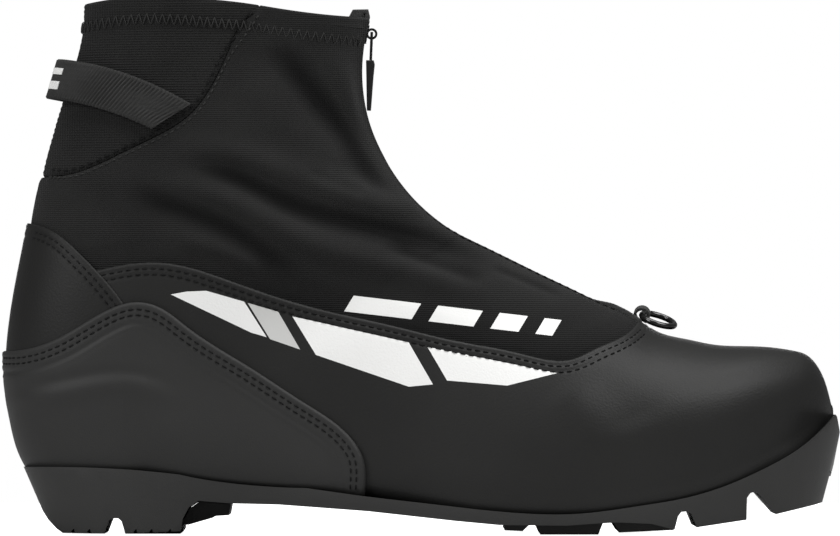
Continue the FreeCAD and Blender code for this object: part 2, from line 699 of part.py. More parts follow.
def heel_block(grow):
    """Room for the rubber let into the heel; grow widens it all round."""
    plan = [(x - grow, -y - grow) for x, y in HEEL_PLAN]
    plan += [(x - grow, y + grow) for x, y in reversed(HEEL_PLAN)]
    plan = [(x + 2 * grow, y) if x > -80.0 else (x, y) for x, y in plan]
    face = Part.Face(Part.makePolygon([Vector(x, y, -3.0) for x, y in plan + plan[:1]]))
    block = face.extrude(Vector(0, 0, 10.5 + grow))
    return block.common(flat_block([(-140.0, -3.0), (-84.4 + grow, -3.0), (-84.4 + grow, 20.0),
                                    (-140.0, 20.0)]))


def fore_block(grow):
    """Room for the rubber let into the forefoot, 2.4 mm inside the edge of the sole."""
    top = moved(FORE_TOP, 0, grow)
    side = [(30.0 - grow, -5.0), (30.0 - grow, top[0][1])] + top[1:-1]
    side += [(90.0 + grow, top[-1][1]), (90.0 + grow, -5.0)]
    return flat_block(side).common(sole_prism(2.5 - grow))


def guide_grooves():
    """Two channels along the sole that drop over the ridges of the ski plate."""
    half = size("groove_width") / 2
    offset = size("groove_offset")
    heel = [(-120.0, -5.0), (-60.0, -5.0), (-60.0, 8.4), (-84.0, 3.4), (-120.0, 3.0)]
    fore = [(20.0, -5.0), (120.0, -5.0), (120.0, 10.0), (98.0, 6.4), (75.0, 2.8), (40.0, 2.3),
            (20.0, 2.3)]
    cuts = []
    for side in (-1, 1):
        for base in (heel, fore):
            cuts.append(flat_block(base, side * offset - half, side * offset + half))
    return cuts


def sole_frame():
    zone = smooth_block(FEATHER, list(reversed(SOLE_BASE)) + [(-160.0, 16.0)])
    body = zone.common(sole_prism())
    body = body.cut(last(-GAP))
    heel = flat_block([(-170.0, 80.0), (-18.2, 80.0), (-18.2, -10.0), (-170.0, -10.0)])
    body = body.cut(last(-PANEL - FLUSH - GAP).common(heel).common(floor_block(-0.7)))
    half = size("recess_width") / 2
    bar_x = size("bar_position_x")
    length = size("bar_length")
    across = Vector(0, 1, 0)
    cuts = [Part.makeBox(30.0, 2 * half, 20.4, Vector(bar_x - 7.5, -half, 0.0)),
            Part.makeCylinder(size("bar_radius"), length,
                              Vector(bar_x, -length / 2, size("bar_height")), across),
            heel_block(GAP), fore_block(GAP), tip_zone(0.0)]
    for x in (-123.4, -117.6, -101.0, -95.4, -88.8):
        cuts.append(flat_block([(x - 1.0, -2.0), (x - 0.9, 0.9), (x + 0.1, 1.9), (x + 1.0, -2.0)]))
    for cut in cuts + guide_grooves():
        body = body.cut(cut)
    feature("sole_frame", single(body))


def tip_zone(shrink):
    """Shallow seat of the guard at the tip of the toe; shrink leaves a fitting gap."""
    rim = sole_prism()
    core = rim.copy()
    core.translate(Vector(-2.4 + shrink, 0, 0))
    band = flat_block([(140.0, 22.0 + shrink), (152.0, 22.0 + shrink), (152.0, 38.0 - shrink),
                       (140.0, 38.0 - shrink)], -16.0 + shrink, 16.0 - shrink)
    if not shrink:
        return Part.makeBox(20, 80, 60, Vector(138, -40, 0)).cut(core).common(band)
    side = smooth_block(FEATHER, [(150.0, 36.1), (147.9, 24.5), (144.9, 12.7), (-160.0, 0.0)])
    return rim.cut(core).common(band).common(side)


def toe_tip_guard():
    feature("toe_tip_guard", single(tip_zone(0.1)))


def toe_bar():
    bar = doc.addObject("Part::Cylinder", "toe_bar")
    bar.Label = "toe_bar"
    bar.setExpression("Radius", "Sizes.bar_radius")
    bar.setExpression("Height", "Sizes.bar_length")
    bar.Placement = FreeCAD.Placement(
        Vector(size("bar_position_x"), -size("bar_length") / 2, size("bar_height")),
        FreeCAD.Rotation(Vector(1, 0, 0), -90))
    made.append(bar)


def heel_tread():
    base = flat_block([(-130.0, 0.0), (-85.4, 0.0), (-84.4, 1.4), (-84.4, 20.0), (-130.0, 20.0)])
    body = heel_block(0.0).common(base).fuse(flat_block(HEEL_LUG, -26.0, 26.0)).removeSplitter()
    body = body.cut(flat_block(HEEL_NOTCH))
    for groove in guide_grooves():
        body = body.cut(groove)
    feature("heel_tread", single(body))


def forefoot_tread():
    base = flat_block([(29.0, 20.0), (29.0, 1.5), (36.4, 1.2), (36.5, 1.2), (42.6, 0.0),
                       (63.3, 0.0), (70.6, 0.7), (91.0, 1.6), (91.0, 20.0)])
    body = fore_block(0.0).common(base)
    for notch in ([(36.3, -5.0), (36.4, 1.2), (38.6, 3.3), (41.1, 3.3), (42.7, 0.0), (42.8, -5.0)],
                  [(63.1, -5.0), (63.2, 0.0), (64.8, 4.0), (68.6, 4.2), (70.6, 0.8),
                   (70.7, -5.0)]):
        body = body.cut(flat_block(notch))
    for groove in guide_grooves():
        body = body.cut(groove)
    feature("forefoot_tread", single(body))


for job in (vamp_and_quarter, heel_counter_panel, heel_overlay, gaiters, ankle_stretch_panel,
            collar_binding, zip_halves, zip_slider, zip_pull_link, zip_pull_grip, zip_end_tab,
            toe_ring, ring_tab, heel_pull_loop, heel_stiffener, toe_puff, padding_and_tongue,
            lining, insole_board_and_shank, footbed, lace_stays, sole_frame, toe_tip_guard,
            toe_bar, heel_tread, forefoot_tread):
    job()

doc.recompute()
for part in made:
    shape = part.Shape
    if "Invalid" in part.State or "Error" in part.State or shape.isNull() or not shape.isValid():
        raise RuntimeError(part.Label + " is not sound")
    shape.exportStep("parts/" + part.Label + ".step")
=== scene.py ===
import bpy
import json
import math
import numpy as np
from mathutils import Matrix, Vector
from mathutils.bvhtree import BVHTree
from mathutils.geometry import delaunay_2d_cdt


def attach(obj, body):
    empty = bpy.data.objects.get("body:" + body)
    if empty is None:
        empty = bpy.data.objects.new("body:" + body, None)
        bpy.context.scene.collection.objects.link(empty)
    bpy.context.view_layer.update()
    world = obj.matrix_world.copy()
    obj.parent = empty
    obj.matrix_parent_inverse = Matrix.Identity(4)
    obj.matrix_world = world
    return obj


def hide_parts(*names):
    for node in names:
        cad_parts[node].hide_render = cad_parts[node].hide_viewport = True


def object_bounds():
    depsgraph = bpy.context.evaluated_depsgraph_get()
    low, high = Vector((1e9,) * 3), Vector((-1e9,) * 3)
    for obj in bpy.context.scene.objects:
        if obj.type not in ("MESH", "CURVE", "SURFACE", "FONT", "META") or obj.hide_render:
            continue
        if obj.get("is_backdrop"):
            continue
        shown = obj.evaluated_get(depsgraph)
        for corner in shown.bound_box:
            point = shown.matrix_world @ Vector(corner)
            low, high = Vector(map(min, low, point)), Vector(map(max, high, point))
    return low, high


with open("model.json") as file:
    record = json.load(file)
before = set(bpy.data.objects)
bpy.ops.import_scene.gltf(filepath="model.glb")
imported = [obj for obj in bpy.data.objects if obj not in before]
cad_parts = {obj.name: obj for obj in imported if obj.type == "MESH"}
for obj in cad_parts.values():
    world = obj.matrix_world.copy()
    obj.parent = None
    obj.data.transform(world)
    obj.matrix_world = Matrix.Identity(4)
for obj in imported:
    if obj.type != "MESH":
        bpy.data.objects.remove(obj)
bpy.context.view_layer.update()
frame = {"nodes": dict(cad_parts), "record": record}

MM = 0.001
CENTRE = np.array([45.0, 165.6])
ZIP_RADIUS = 66.2
FLUSH = 1.3
SKIN_RADIUS = ZIP_RADIUS - FLUSH
ZIP_TOP = 163.9
ARC_END = 244.0
INSTEP_SLOPE = math.radians(26)
LOOSENESS = 0.9
DEEPEST_FOLD = -1.1


def on_arc(angle, radius=SKIN_RADIUS):
    turn = math.radians(angle)
    return (CENTRE[0] + radius * math.cos(turn), CENTRE[1] + radius * math.sin(turn))


def on_instep(distance, radius=SKIN_RADIUS):
    x, z = on_arc(ARC_END, radius)
    return (x + distance * math.cos(INSTEP_SLOPE), z - distance * math.sin(INSTEP_SLOPE))


# Each section: bottom and top point in side view, half width lateral and medial, height share where it
# is widest, roundness below and above that height.
SECTIONS = [
    ((-121.2, 206.0), on_arc(150), 36.4, 36.4, 0.48, 2.2, 2.1),
    ((-121.4, 191.0), on_arc(160), 36.2, 36.2, 0.48, 2.2, 2.1),
    ((-122.8, 176.0), on_arc(169), 36.0, 36.0, 0.48, 2.2, 2.1),
    ((-128.2, 158.0), on_arc(180), 35.4, 35.4, 0.47, 2.3, 2.1),
    ((-133.4, 141.0), on_arc(190), 34.7, 34.7, 0.46, 2.4, 2.15),
    ((-137.9, 122.0), on_arc(200), 34.3, 34.3, 0.45, 2.5, 2.2),
    ((-140.9, 105.0), on_arc(209), 34.9, 34.9, 0.44, 2.6, 2.3),
    ((-144.2, 88.0), on_arc(217), 35.7, 35.7, 0.43, 2.7, 2.4),
    ((-146.6, 72.0), on_arc(224), 36.2, 36.2, 0.42, 2.8, 2.5),
    ((-147.2, 57.0), on_arc(230), 36.5, 36.5, 0.42, 2.8, 2.5),
    ((-144.8, 42.0), on_arc(235), 36.5, 36.5, 0.42, 2.8, 2.5),
    ((-141.0, 29.0), on_arc(239), 36.5, 36.5, 0.42, 2.9, 2.5),
    ((-133.5, 19.8), on_arc(242), 36.6, 36.6, 0.42, 3.2, 2.5),
    ((-116.0, 18.0), on_instep(0), 37.0, 36.8, 0.40, 3.8, 2.4),
    ((-90.0, 16.6), on_instep(9), 38.0, 37.4, 0.38, 4.4, 2.4),
    ((-60.0, 14.2), on_instep(20), 39.4, 37.6, 0.36, 4.8, 2.3),
    ((-30.0, 11.2), on_instep(32), 41.8, 39.0, 0.35, 5.0, 2.2),
    ((-4.0, 8.8), on_instep(44), 45.0, 42.4, 0.34, 5.6, 2.2),
    ((19.0, 6.6), on_instep(55), 48.2, 46.4, 0.33, 6.6, 2.2),
    ((40.0, 5.6), on_instep(66), 50.0, 49.2, 0.33, 7.5, 2.15),
    ((60.0, 5.8), (85.6, 72.0), 50.0, 50.2, 0.34, 7.5, 2.2),
    ((78.0, 7.9), (95.6, 69.4), 48.2, 49.2, 0.36, 7.5, 2.25),
    ((95.0, 11.2), (105.6, 67.4), 44.6, 46.8, 0.38, 7.4, 2.35),
    ((110.0, 15.8), (115.6, 66.9), 39.6, 42.8, 0.40, 7.0, 2.45),
    ((123.0, 21.6), (125.6, 66.5), 33.0, 36.2, 0.42, 6.4, 2.5),
    ((133.5, 27.0), (134.4, 65.2), 25.6, 28.0, 0.44, 5.6, 2.5),
    ((141.0, 32.4), (141.0, 61.8), 17.8, 19.4, 0.46, 4.6, 2.5),
    ((145.6, 37.0), (145.4, 54.0), 10.2, 11.2, 0.48, 3.2, 2.4),
    ((147.6, 40.0), (147.6, 46.0), 3.4, 3.7, 0.50, 2.2, 2.2),
]
COLLAR = [(-150.0, 187.5), (-120.8, 189.3), (-101.2, 191.3), (-80.1, 190.5),
          (-60.9, 188.5), (-50.1, 186.8), (-26.5, 184.1), (10.0, 183.6)]
ANKLE_SEAM = [(-56.4, 192.0), (-56.6, 188.1), (-60.9, 183.6), (-68.6, 170.3), (-78.2, 153.0), (-83.9, 147.3),
              (-94.8, 141.0), (-105.7, 135.9), (-115.3, 131.5), (-124.9, 128.4), (-150.0, 129.0)]
QUARTER_EDGE = [(-126.0, 91.6), (-114.4, 94.0), (-102.5, 96.2), (-89.7, 96.3), (-70.5, 91.2),
                (-51.9, 84.7), (-31.4, 79.1), (-10.8, 74.5), (14.4, 68.6), (35.9, 64.5),
                (53.5, 62.3), (63.0, 66.5), (74.7, 72.3), (79.1, 77.0)]
COUNTER_EDGE = [(-150.0, 112.0), (-140.3, 110.9), (-130.1, 107.3), (-120.5, 99.2),
                (-112.1, 90.5), (-105.1, 81.5), (-99.0, 70.0)]
OVERLAY_EDGE = [(-155.0, 65.6), (-142.9, 65.2), (-129.4, 69.0), (-112.1, 79.0), (-101.2, 82.4),
                (-94.0, 81.2), (-82.7, 73.6), (-60.9, 59.5), (-41.0, 46.6), (-25.4, 35.2),
                (-20.6, 28.0), (-19.7, 12.0)]


def cubic(places, values, wanted):
    """Natural cubic through values at places, read at wanted."""
    places = np.asarray(places, float)
    values = np.asarray(values, float)
    if values.ndim == 1:
        return cubic(places, values[:, None], wanted)[:, 0]
    count = len(places)
    gaps = np.diff(places)
    matrix = np.eye(count)
    right = np.zeros_like(values)
    for k in range(1, count - 1):
        matrix[k, k - 1:k + 2] = (gaps[k - 1], 2 * (gaps[k - 1] + gaps[k]), gaps[k])
        right[k] = 6 * ((values[k + 1] - values[k]) / gaps[k] - (values[k] - values[k - 1]) / gaps[k - 1])
    bend = np.linalg.solve(matrix, right)
    k = np.clip(np.searchsorted(places, wanted) - 1, 0, count - 2)
    gap = gaps[k][:, None]
    a = (places[k + 1] - wanted)[:, None] / gap
    b = 1 - a
    return (a * values[k] + b * values[k + 1]
            + ((a ** 3 - a) * bend[k] + (b ** 3 - b) * bend[k + 1]) * gap ** 2 / 6)


def smooth(points, step=1.5):
    """Dense smooth line through side-view points."""
    points = np.asarray(points, float)
    run = np.concatenate([[0], np.cumsum(np.hypot(*np.diff(points, axis=0).T[:2]))])
    wanted = np.linspace(0, run[-1], max(8, int(run[-1] / step)))
    return cubic(run, points, wanted)


class Skin:
    """Grid of points and outward normals over the boot's reference skin, in millimetres."""

    def __init__(self, sub, around):
        rows = np.array([[*e[0], *e[1], *e[2:]] for e in SECTIONS])
        middle = (rows[:, 0:2] + rows[:, 2:4]) / 2
        places = np.concatenate([[0], np.cumsum(np.hypot(*np.diff(middle, axis=0).T))])
        wanted = np.concatenate([np.linspace(a, b, sub, endpoint=False)
                                 for a, b in zip(places[:-1], places[1:])] + [places[-1:]])
        data = cubic(places, rows, wanted)
        self.half = around // 2
        grid = np.zeros((len(wanted) + 4, around, 3))
        fine = np.linspace(0, math.pi, 181)
        for r, (bx, bz, tx, tz, wl, wm, widest, low_round, top_round) in enumerate(data):
            chord = math.hypot(tx - bx, tz - bz)
            ex, ez = (tx - bx) / chord, (tz - bz) / chord
            cosine, sine = np.cos(fine), np.sin(fine)
            power = np.where(cosine >= 0, low_round, top_round)
            reach = np.where(cosine >= 0, widest, 1 - widest) * chord
            swell = (np.abs(cosine) ** power + np.abs(sine) ** power) ** (-1 / power)
            height = widest * chord - cosine * swell * reach
            for side, width in ((-1, wl), (1, wm)):
                y = side * sine * swell * width
                run = np.concatenate([[0], np.cumsum(np.hypot(np.diff(height), np.diff(y)))])
                at = np.linspace(0, run[-1], self.half + 1)
                hh, yy = np.interp(at, run, height), np.interp(at, run, y)
                line = np.stack([bx + ex * hh, yy, bz + ez * hh], 1)
                if side < 0:
                    grid[r, :self.half + 1] = line
                else:
                    grid[r, self.half:] = line[::-1][:-1]
        centre = grid[len(wanted) - 1].mean(0)
        for k, (share, ahead) in enumerate(((0.85, 0.35), (0.55, 0.6), (0.25, 0.7), (0.0, 0.72))):
            grid[len(wanted) + k] = centre + (grid[len(wanted) - 1] - centre) * share + [ahead, 0, 0]
        self.p = grid
        along = np.gradient(grid, axis=0)
        across = (np.roll(grid, -1, 1) - np.roll(grid, 1, 1)) / 2
        normal = np.cross(along, across)
        size = np.linalg.norm(normal, axis=2, keepdims=True)
        normal = normal / np.maximum(size, 1e-9)
        inner = grid.mean(1, keepdims=True)
        if (np.einsum("ijk,ijk->ij", normal, grid - inner) < 0).mean() > 0.5:
            normal = -normal
        normal[-2:] = [1, 0, 0]
        self.n = normal
        self.x, self.y, self.z = grid[..., 0], grid[..., 1], grid[..., 2]

    def inside(self, outline):
        """Distance along the skin to a side-view outline, positive inside."""
        outline = np.asarray(outline, float)
        x, z = self.x, self.z
        best = np.full(x.shape, 1e9)
        gx, gz = np.zeros(x.shape), np.zeros(x.shape)
        odd = np.zeros(x.shape, bool)
        for a, b in zip(outline, np.roll(outline, -1, 0)):
            dx, dz = b - a
            size = dx * dx + dz * dz
            if size < 1e-9:
                continue
            t = np.clip(((x - a[0]) * dx + (z - a[1]) * dz) / size, 0, 1)
            ox, oz = x - a[0] - t * dx, z - a[1] - t * dz
            near = ox * ox + oz * oz
            closer = near < best
            best = np.where(closer, near, best)
            gx = np.where(closer, ox, gx)
            gz = np.where(closer, oz, gz)
            if abs(dz) > 1e-9:
                hit = ((a[1] > z) != (b[1] > z)) & (x < a[0] + (z - a[1]) / dz * dx)
                odd ^= hit
        best = np.sqrt(best)
        slope = (gx * self.n[..., 0] + gz * self.n[..., 2]) / np.maximum(best, 1e-6)
        return np.where(odd, best, -best) / np.sqrt(np.clip(1 - slope ** 2, 0.06, 1))


skin = Skin(18, 432)


def link(name, mesh, material, nodes=(), slot=None, body="boot"):
    obj = bpy.data.objects.new(name, mesh)
    bpy.context.scene.collection.objects.link(obj)
    mesh.materials.append(material)
    mesh.polygons.foreach_set("use_smooth", [True] * len(mesh.polygons))
    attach(obj, body)
    if nodes:
        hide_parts(*nodes)
    return obj


def mesh_of(name, points, faces):
    mesh = bpy.data.meshes.new(name)
    mesh.from_pydata([tuple(p) for p in np.asarray(points) * MM], [], [tuple(f) for f in faces])
    mesh.update()
    return mesh


def tube_faces(base, rings, corners):
    """Quads round a tube of rings of points that starts at base, with a flat cap at each end."""
    faces = []
    for ring in range(rings - 1):
        for j in range(corners):
            a, b = base + ring * corners + j, base + ring * corners + (j + 1) % corners
            faces.append((a, b, b + corners, a + corners))
    faces.append(tuple(base + j for j in range(corners - 1, -1, -1)))
    faces.append(tuple(base + (rings - 1) * corners + j for j in range(corners)))
    return faces


def sheet_faces(steps, span):
    """Quads over an open grid of steps + 1 rows of span points."""
    return [(a, a + 1, a + span + 1, a + span)
            for k in range(steps) for a in range(k * span, k * span + span - 1)]


def panel(name, field, height, base, material, rounding=0.6, **words):
    """Panel over the skin where field is positive: height above the skin, edges rounded down to base."""
    rows, cols = field.shape
    flat = np.arange(rows * cols).reshape(rows, cols)
    right = np.roll(flat, -1, 1)
    cells = np.stack([flat[:-1], right[:-1], right[1:], flat[1:]], -1).reshape(-1, 4)
    s = field.ravel()
    points, normals = skin.p.reshape(-1, 3), skin.n.reshape(-1, 3)
    height = np.broadcast_to(height, field.shape).ravel()
    edge = 1 - np.clip(s / rounding, 0, 1)
    lifted = height - rounding * (1 - np.sqrt(np.clip(1 - edge ** 2, 0, 1)))
    top = points + normals * lifted[:, None]
    inner = s[cells] > 0
    full = inner.all(1)
    mixed = np.nonzero(inner.any(1) & ~full)[0]
    used = np.zeros(rows * cols, bool)
    used[cells[full].ravel()] = True
    faces = [tuple(f) for f in cells[full]]
    extra, extra_low, known = [], [], {}
    polygons, skirts = [], []
    for c in mixed:
        corner = cells[c]
        ring = []
        for k in range(4):
            a, b = corner[k], corner[(k + 1) % 4]
            if s[a] > 0:
                ring.append(("v", a))
                used[a] = True
            if (s[a] > 0) != (s[b] > 0):
                key = (min(a, b), max(a, b))
                if key not in known:
                    lo, hi = key
                    t = s[lo] / (s[lo] - s[hi])
                    t = min(max(t, 0.02), 0.98)
                    p = points[lo] * (1 - t) + points[hi] * t
                    n = normals[lo] * (1 - t) + normals[hi] * t
                    lift = height[lo] * (1 - t) + height[hi] * t - rounding
                    known[key] = len(extra)
                    extra.append(p + n * lift)
                    extra_low.append(p + n * base)
                ring.append(("e", known[key]))
        if len(ring) > 2:
            polygons.append(ring)
            for k in range(len(ring)):
                one, two = ring[k], ring[(k + 1) % len(ring)]
                if one[0] == "e" and two[0] == "e":
                    skirts.append((one[1], two[1]))
    order = np.cumsum(used) - 1
    kept = top[used]
    count = len(kept)
    faces = [tuple(order[list(f)]) for f in faces]
    more = len(extra)
    for ring in polygons:
        faces.append(tuple(order[i] if kind == "v" else count + i for kind, i in ring))
    for one, two in skirts:
        faces.append((count + two, count + one, count + more + one, count + more + two))
    if more:
        kept = np.concatenate([kept, extra, extra_low])
    first = cells[full][0]
    p = points[first]
    facing = np.cross(p[1] - p[0], p[2] - p[0]) @ normals[first[0]]
    if facing < 0:
        faces = [f[::-1] for f in faces]
    return link(name, mesh_of(name, kept, faces), material, **words)


# ------------------------------------------------------------------ materials

def material(name, colour, rough, build, metal=0.0, spec=0.5, sheen=0.0):
    """Principled surface whose colour and bump come from build(nodes, links, shader, coordinates)."""
    mat = bpy.data.materials.new(name)
    mat.use_nodes = True
    nodes, links = mat.node_tree.nodes, mat.node_tree.links
    shader = nodes["Principled BSDF"]
    shader.inputs["Base Color"].default_value = (*colour, 1)
    shader.inputs["Roughness"].default_value = rough
    shader.inputs["Metallic"].default_value = metal
    shader.inputs["Specular IOR Level"].default_value = spec
    shader.inputs["Sheen Weight"].default_value = sheen
    shader.inputs["Sheen Roughness"].default_value = 0.5
    coords = nodes.new("ShaderNodeTexCoord").outputs["Object"]
    build(nodes, links, shader, coords)
    return mat


def noise(nodes, links, coords, scale, detail=3.0):
    node = nodes.new("ShaderNodeTexNoise")
    node.inputs["Scale"].default_value = scale
    node.inputs["Detail"].default_value = detail
    links.new(coords, node.inputs["Vector"])
    return node.outputs["Fac"]


def ramp(nodes, links, source, low, high, start=0.3, end=0.7):
    node = nodes.new("ShaderNodeMapRange")
    node.inputs["From Min"].default_value = start
    node.inputs["From Max"].default_value = end
    node.inputs["To Min"].default_value = low
    node.inputs["To Max"].default_value = high
    links.new(source, node.inputs["Value"])
    return node.outputs["Result"]


def tint(nodes, links, shader, source, dark, light):
    node = nodes.new("ShaderNodeMix")
    node.data_type = "RGBA"
    node.inputs["A"].default_value = (*dark, 1)
    node.inputs["B"].default_value = (*light, 1)
    links.new(source, node.inputs["Factor"])
    links.new(node.outputs["Result"], shader.inputs["Base Color"])


def bump(nodes, links, shader, source, strength, distance, after=None):
    node = nodes.new("ShaderNodeBump")
    node.inputs["Strength"].default_value = strength
    node.inputs["Distance"].default_value = distance
    links.new(source, node.inputs["Height"])
    if after is not None:
        links.new(after, node.inputs["Normal"])
    links.new(node.outputs["Normal"], shader.inputs["Normal"])
    return node.outputs["Normal"]


def cells(nodes, links, coords, scale):
    node = nodes.new("ShaderNodeTexVoronoi")
    node.feature = "SMOOTH_F1"
    node.inputs["Scale"].default_value = scale
    links.new(coords, node.inputs["Vector"])
    return node.outputs["Distance"]


def waves(nodes, links, coords, scale, direction):
    node = nodes.new("ShaderNodeTexWave")
    node.bands_direction = direction
    node.inputs["Scale"].default_value = scale
    links.new(coords, node.inputs["Vector"])
    return node.outputs["Fac"]


def leather_look(grain, depth, dark, light):
    def build(nodes, links, shader, coords):
        broad = noise(nodes, links, coords, 18.0)
        tint(nodes, links, shader, ramp(nodes, links, broad, 0.0, 1.0), dark, light)
        first = bump(nodes, links, shader, cells(nodes, links, coords, grain), 0.2, depth)
        bump(nodes, links, shader, noise(nodes, links, coords, grain * 2.2), 0.16, depth, first)
    return build


def knit_look(scale, dark, light, depth=0.0004, shade_colour=None):
    """Woven or knitted cloth; the last argument, if given, is the colour of painted shade laid into its fold
    valleys and lower front.
    """
    def build(nodes, links, shader, coords):
        broad = noise(nodes, links, coords, 25.0)
        tint(nodes, links, shader, ramp(nodes, links, broad, 0.0, 1.0), dark, light)
        # Painted shade: the cloth colour is darkened by a per-point attribute, in the fold valleys and in a
        # band above the vamp edge.
        if shade_colour:
            shade_reader = nodes.new("ShaderNodeAttribute")
            shade_reader.attribute_name = "painted_shade"
            mix = nodes.new("ShaderNodeMix")
            mix.data_type = "RGBA"
            links.new(shader.inputs["Base Color"].links[0].from_socket, mix.inputs["A"])
            mix.inputs["B"].default_value = (*shade_colour, 1)
            links.new(shade_reader.outputs["Fac"], mix.inputs["Factor"])
            links.new(mix.outputs["Result"], shader.inputs["Base Color"])
        first = bump(nodes, links, shader, waves(nodes, links, coords, scale, "Z"), 0.5, depth)
        second = bump(nodes, links, shader, waves(nodes, links, coords, scale, "X"), 0.35, depth, first)
        bump(nodes, links, shader, noise(nodes, links, coords, scale * 6), 0.3, depth, second)
    return build


satin = leather_look(1400.0, 0.0003, (0.0105, 0.0105, 0.0102), (0.0135, 0.0135, 0.013))
vamp_mat = material("vamp_leather", (0.01, 0.01, 0.01), 0.5, satin, spec=0.2)
counter_mat = material("counter_leather", (0.01, 0.01, 0.01), 0.5, satin, spec=0.17)
overlay_mat = material("overlay_plastic", (0.013, 0.013, 0.013), 0.55,
                       leather_look(2200.0, 0.0002, (0.018, 0.018, 0.0176), (0.0225, 0.0225, 0.022)),
                       spec=0.24)
# The softshell's last colour is painted shade for its fold valleys and lower front.
shell_mat = material("softshell", (0.006, 0.006, 0.006), 0.85,
                     knit_look(430.0, (0.0118, 0.0118, 0.0116), (0.0178, 0.0178, 0.0174), 0.0004,
                               (0.0024, 0.0024, 0.0024)), spec=0.08, sheen=0.04)
rib_mat = material("rib_knit", (0.008, 0.008, 0.008), 0.85,
                   knit_look(350.0, (0.0124, 0.0124, 0.0122), (0.0188, 0.0188, 0.0184), 0.0008), spec=0.08,
                   sheen=0.03)
fleece_mat = material("lining_fleece", (0.012, 0.012, 0.012), 0.95,
                      knit_look(300.0, (0.009, 0.009, 0.0095), (0.018, 0.018, 0.019), 0.001), spec=0.08,
                      sheen=0.1)
sole_mat = material("sole_plastic", (0.012, 0.012, 0.012), 0.5,
                    leather_look(2600.0, 0.0002, (0.0215, 0.0215, 0.021), (0.027, 0.027, 0.0264)), spec=0.26)
tread_mat = material("tread_rubber", (0.005, 0.005, 0.005), 0.6,
                     leather_look(1800.0, 0.0002, (0.0085, 0.0085, 0.0085), (0.0125, 0.0125, 0.0122)),
                     spec=0.15)
guard_mat = material("guard_plastic", (0.013, 0.013, 0.0125), 0.35,
                     leather_look(2600.0, 0.0002, (0.014, 0.014, 0.0135), (0.018, 0.018, 0.0172)), spec=0.3)
web_mat = material("webbing", (0.012, 0.012, 0.012), 0.8,
                   knit_look(700.0, (0.029, 0.029, 0.0285), (0.044, 0.044, 0.043)), spec=0.14, sheen=0.05)
black_metal = material("black_metal", (0.006, 0.006, 0.006), 0.2,
                       leather_look(500.0, 0.00003, (0.005, 0.005, 0.005), (0.008, 0.008, 0.008)), spec=0.6)
zip_mat = material("zip_plastic", (0.008, 0.008, 0.008), 0.4,
                   leather_look(1500.0, 0.0001, (0.007, 0.007, 0.007), (0.011, 0.011, 0.011)), spec=0.25)
steel_mat = material("steel", (0.35, 0.35, 0.36), 0.3,
                     leather_look(800.0, 0.00003, (0.32, 0.32, 0.33), (0.4, 0.4, 0.41)), metal=1.0)
grip_mat = material("grip_rubber", (0.012, 0.012, 0.012), 0.6,
                    leather_look(2200.0, 0.0002, (0.011, 0.011, 0.011), (0.015, 0.015, 0.015)), spec=0.2)
thread_mat = material("thread_grey", (0.03, 0.03, 0.03), 0.7,
                      knit_look(1200.0, (0.021, 0.021, 0.0205), (0.036, 0.036, 0.035)), spec=0.2)
dark_thread = material("thread_dark", (0.01, 0.01, 0.01), 0.7,
                       knit_look(1200.0, (0.006, 0.006, 0.006), (0.012, 0.012, 0.012)), spec=0.12)
white_mat = material("white_print", (0.8, 0.8, 0.8), 0.5,
                     leather_look(1400.0, 0.0003, (0.68, 0.68, 0.67), (0.73, 0.73, 0.72)), spec=0.2)
grey_mat = material("grey_print", (0.2, 0.2, 0.2), 0.35,
                    leather_look(2400.0, 0.0002, (0.42, 0.42, 0.41), (0.56, 0.56, 0.55)), spec=0.4)
foam_mat = material("footbed_foam", (0.05, 0.05, 0.055), 0.95,
                    knit_look(300.0, (0.04, 0.04, 0.044), (0.06, 0.06, 0.066)), spec=0.2)

SLOT_LOOKS = {
    "vamp_leather": vamp_mat, "softshell": shell_mat, "rib_knit": rib_mat, "heel_plastic": overlay_mat,
    "sole_plastic": sole_mat, "tread_rubber": tread_mat, "guard_plastic": guard_mat, "bar_steel": steel_mat,
    "zip_plastic": zip_mat, "zip_tape": web_mat, "slider_metal": black_metal, "grip_rubber": grip_mat,
    "ring_metal": black_metal, "webbing": web_mat, "lining_fleece": fleece_mat, "foam": foam_mat,
    "stiff_board": foam_mat, "shank_steel": steel_mat,
}
slot_of = {entry["node"]: entry["material_slot"] for entry in frame["record"]["subparts"]}
for name, node in frame["nodes"].items():
    node.data.materials.clear()
    node.data.materials.append(SLOT_LOOKS[slot_of[name]])

# ------------------------------------------------------------------ regions

FAR = 200.0
quarter_line = smooth(QUARTER_EDGE)
counter_line = smooth(COUNTER_EDGE)
overlay_line = smooth(OVERLAY_EDGE)
seam_line = smooth(ANKLE_SEAM)
collar_line = smooth(COLLAR)


def closed(line, corners):
    return np.concatenate([line, np.asarray(corners, float)])


vamp_zone = skin.inside(closed(quarter_line, [(79.1, 100), (FAR, 100), (FAR, -20), (-126, -20)]))
counter_zone = skin.inside(closed(counter_line, [(-97, 40), (-96, -20), (-FAR, -20), (-FAR, 112)]))
overlay_zone = skin.inside(closed(overlay_line, [(-19.7, -20), (-FAR, -20), (-FAR, 65.6)]))
collar_zone = skin.inside(closed(collar_line, [(FAR, 183.6), (FAR, -20), (-FAR, -20), (-FAR, 187.5)]))
rear_zone = skin.inside(closed(seam_line, [(-FAR, 129), (-FAR, 260), (-56.4, 260)]))


def floor_at(x):
    lows = np.array([e[0] for e in SECTIONS[12:]])
    return np.interp(x, lows[:, 0], lows[:, 1])


above_floor = skin.z - floor_at(skin.x) - 0.5
front = (skin.x > -60) & (skin.z > 58)
slot_half = 5.0
slot_gap = np.where(front & (np.abs(skin.y) < 20) & (skin.n[..., 0] > -0.2),
                    np.abs(skin.y) - slot_half, 50.0)


def bell(distance, width):
    return np.exp(-(distance / width) ** 2)


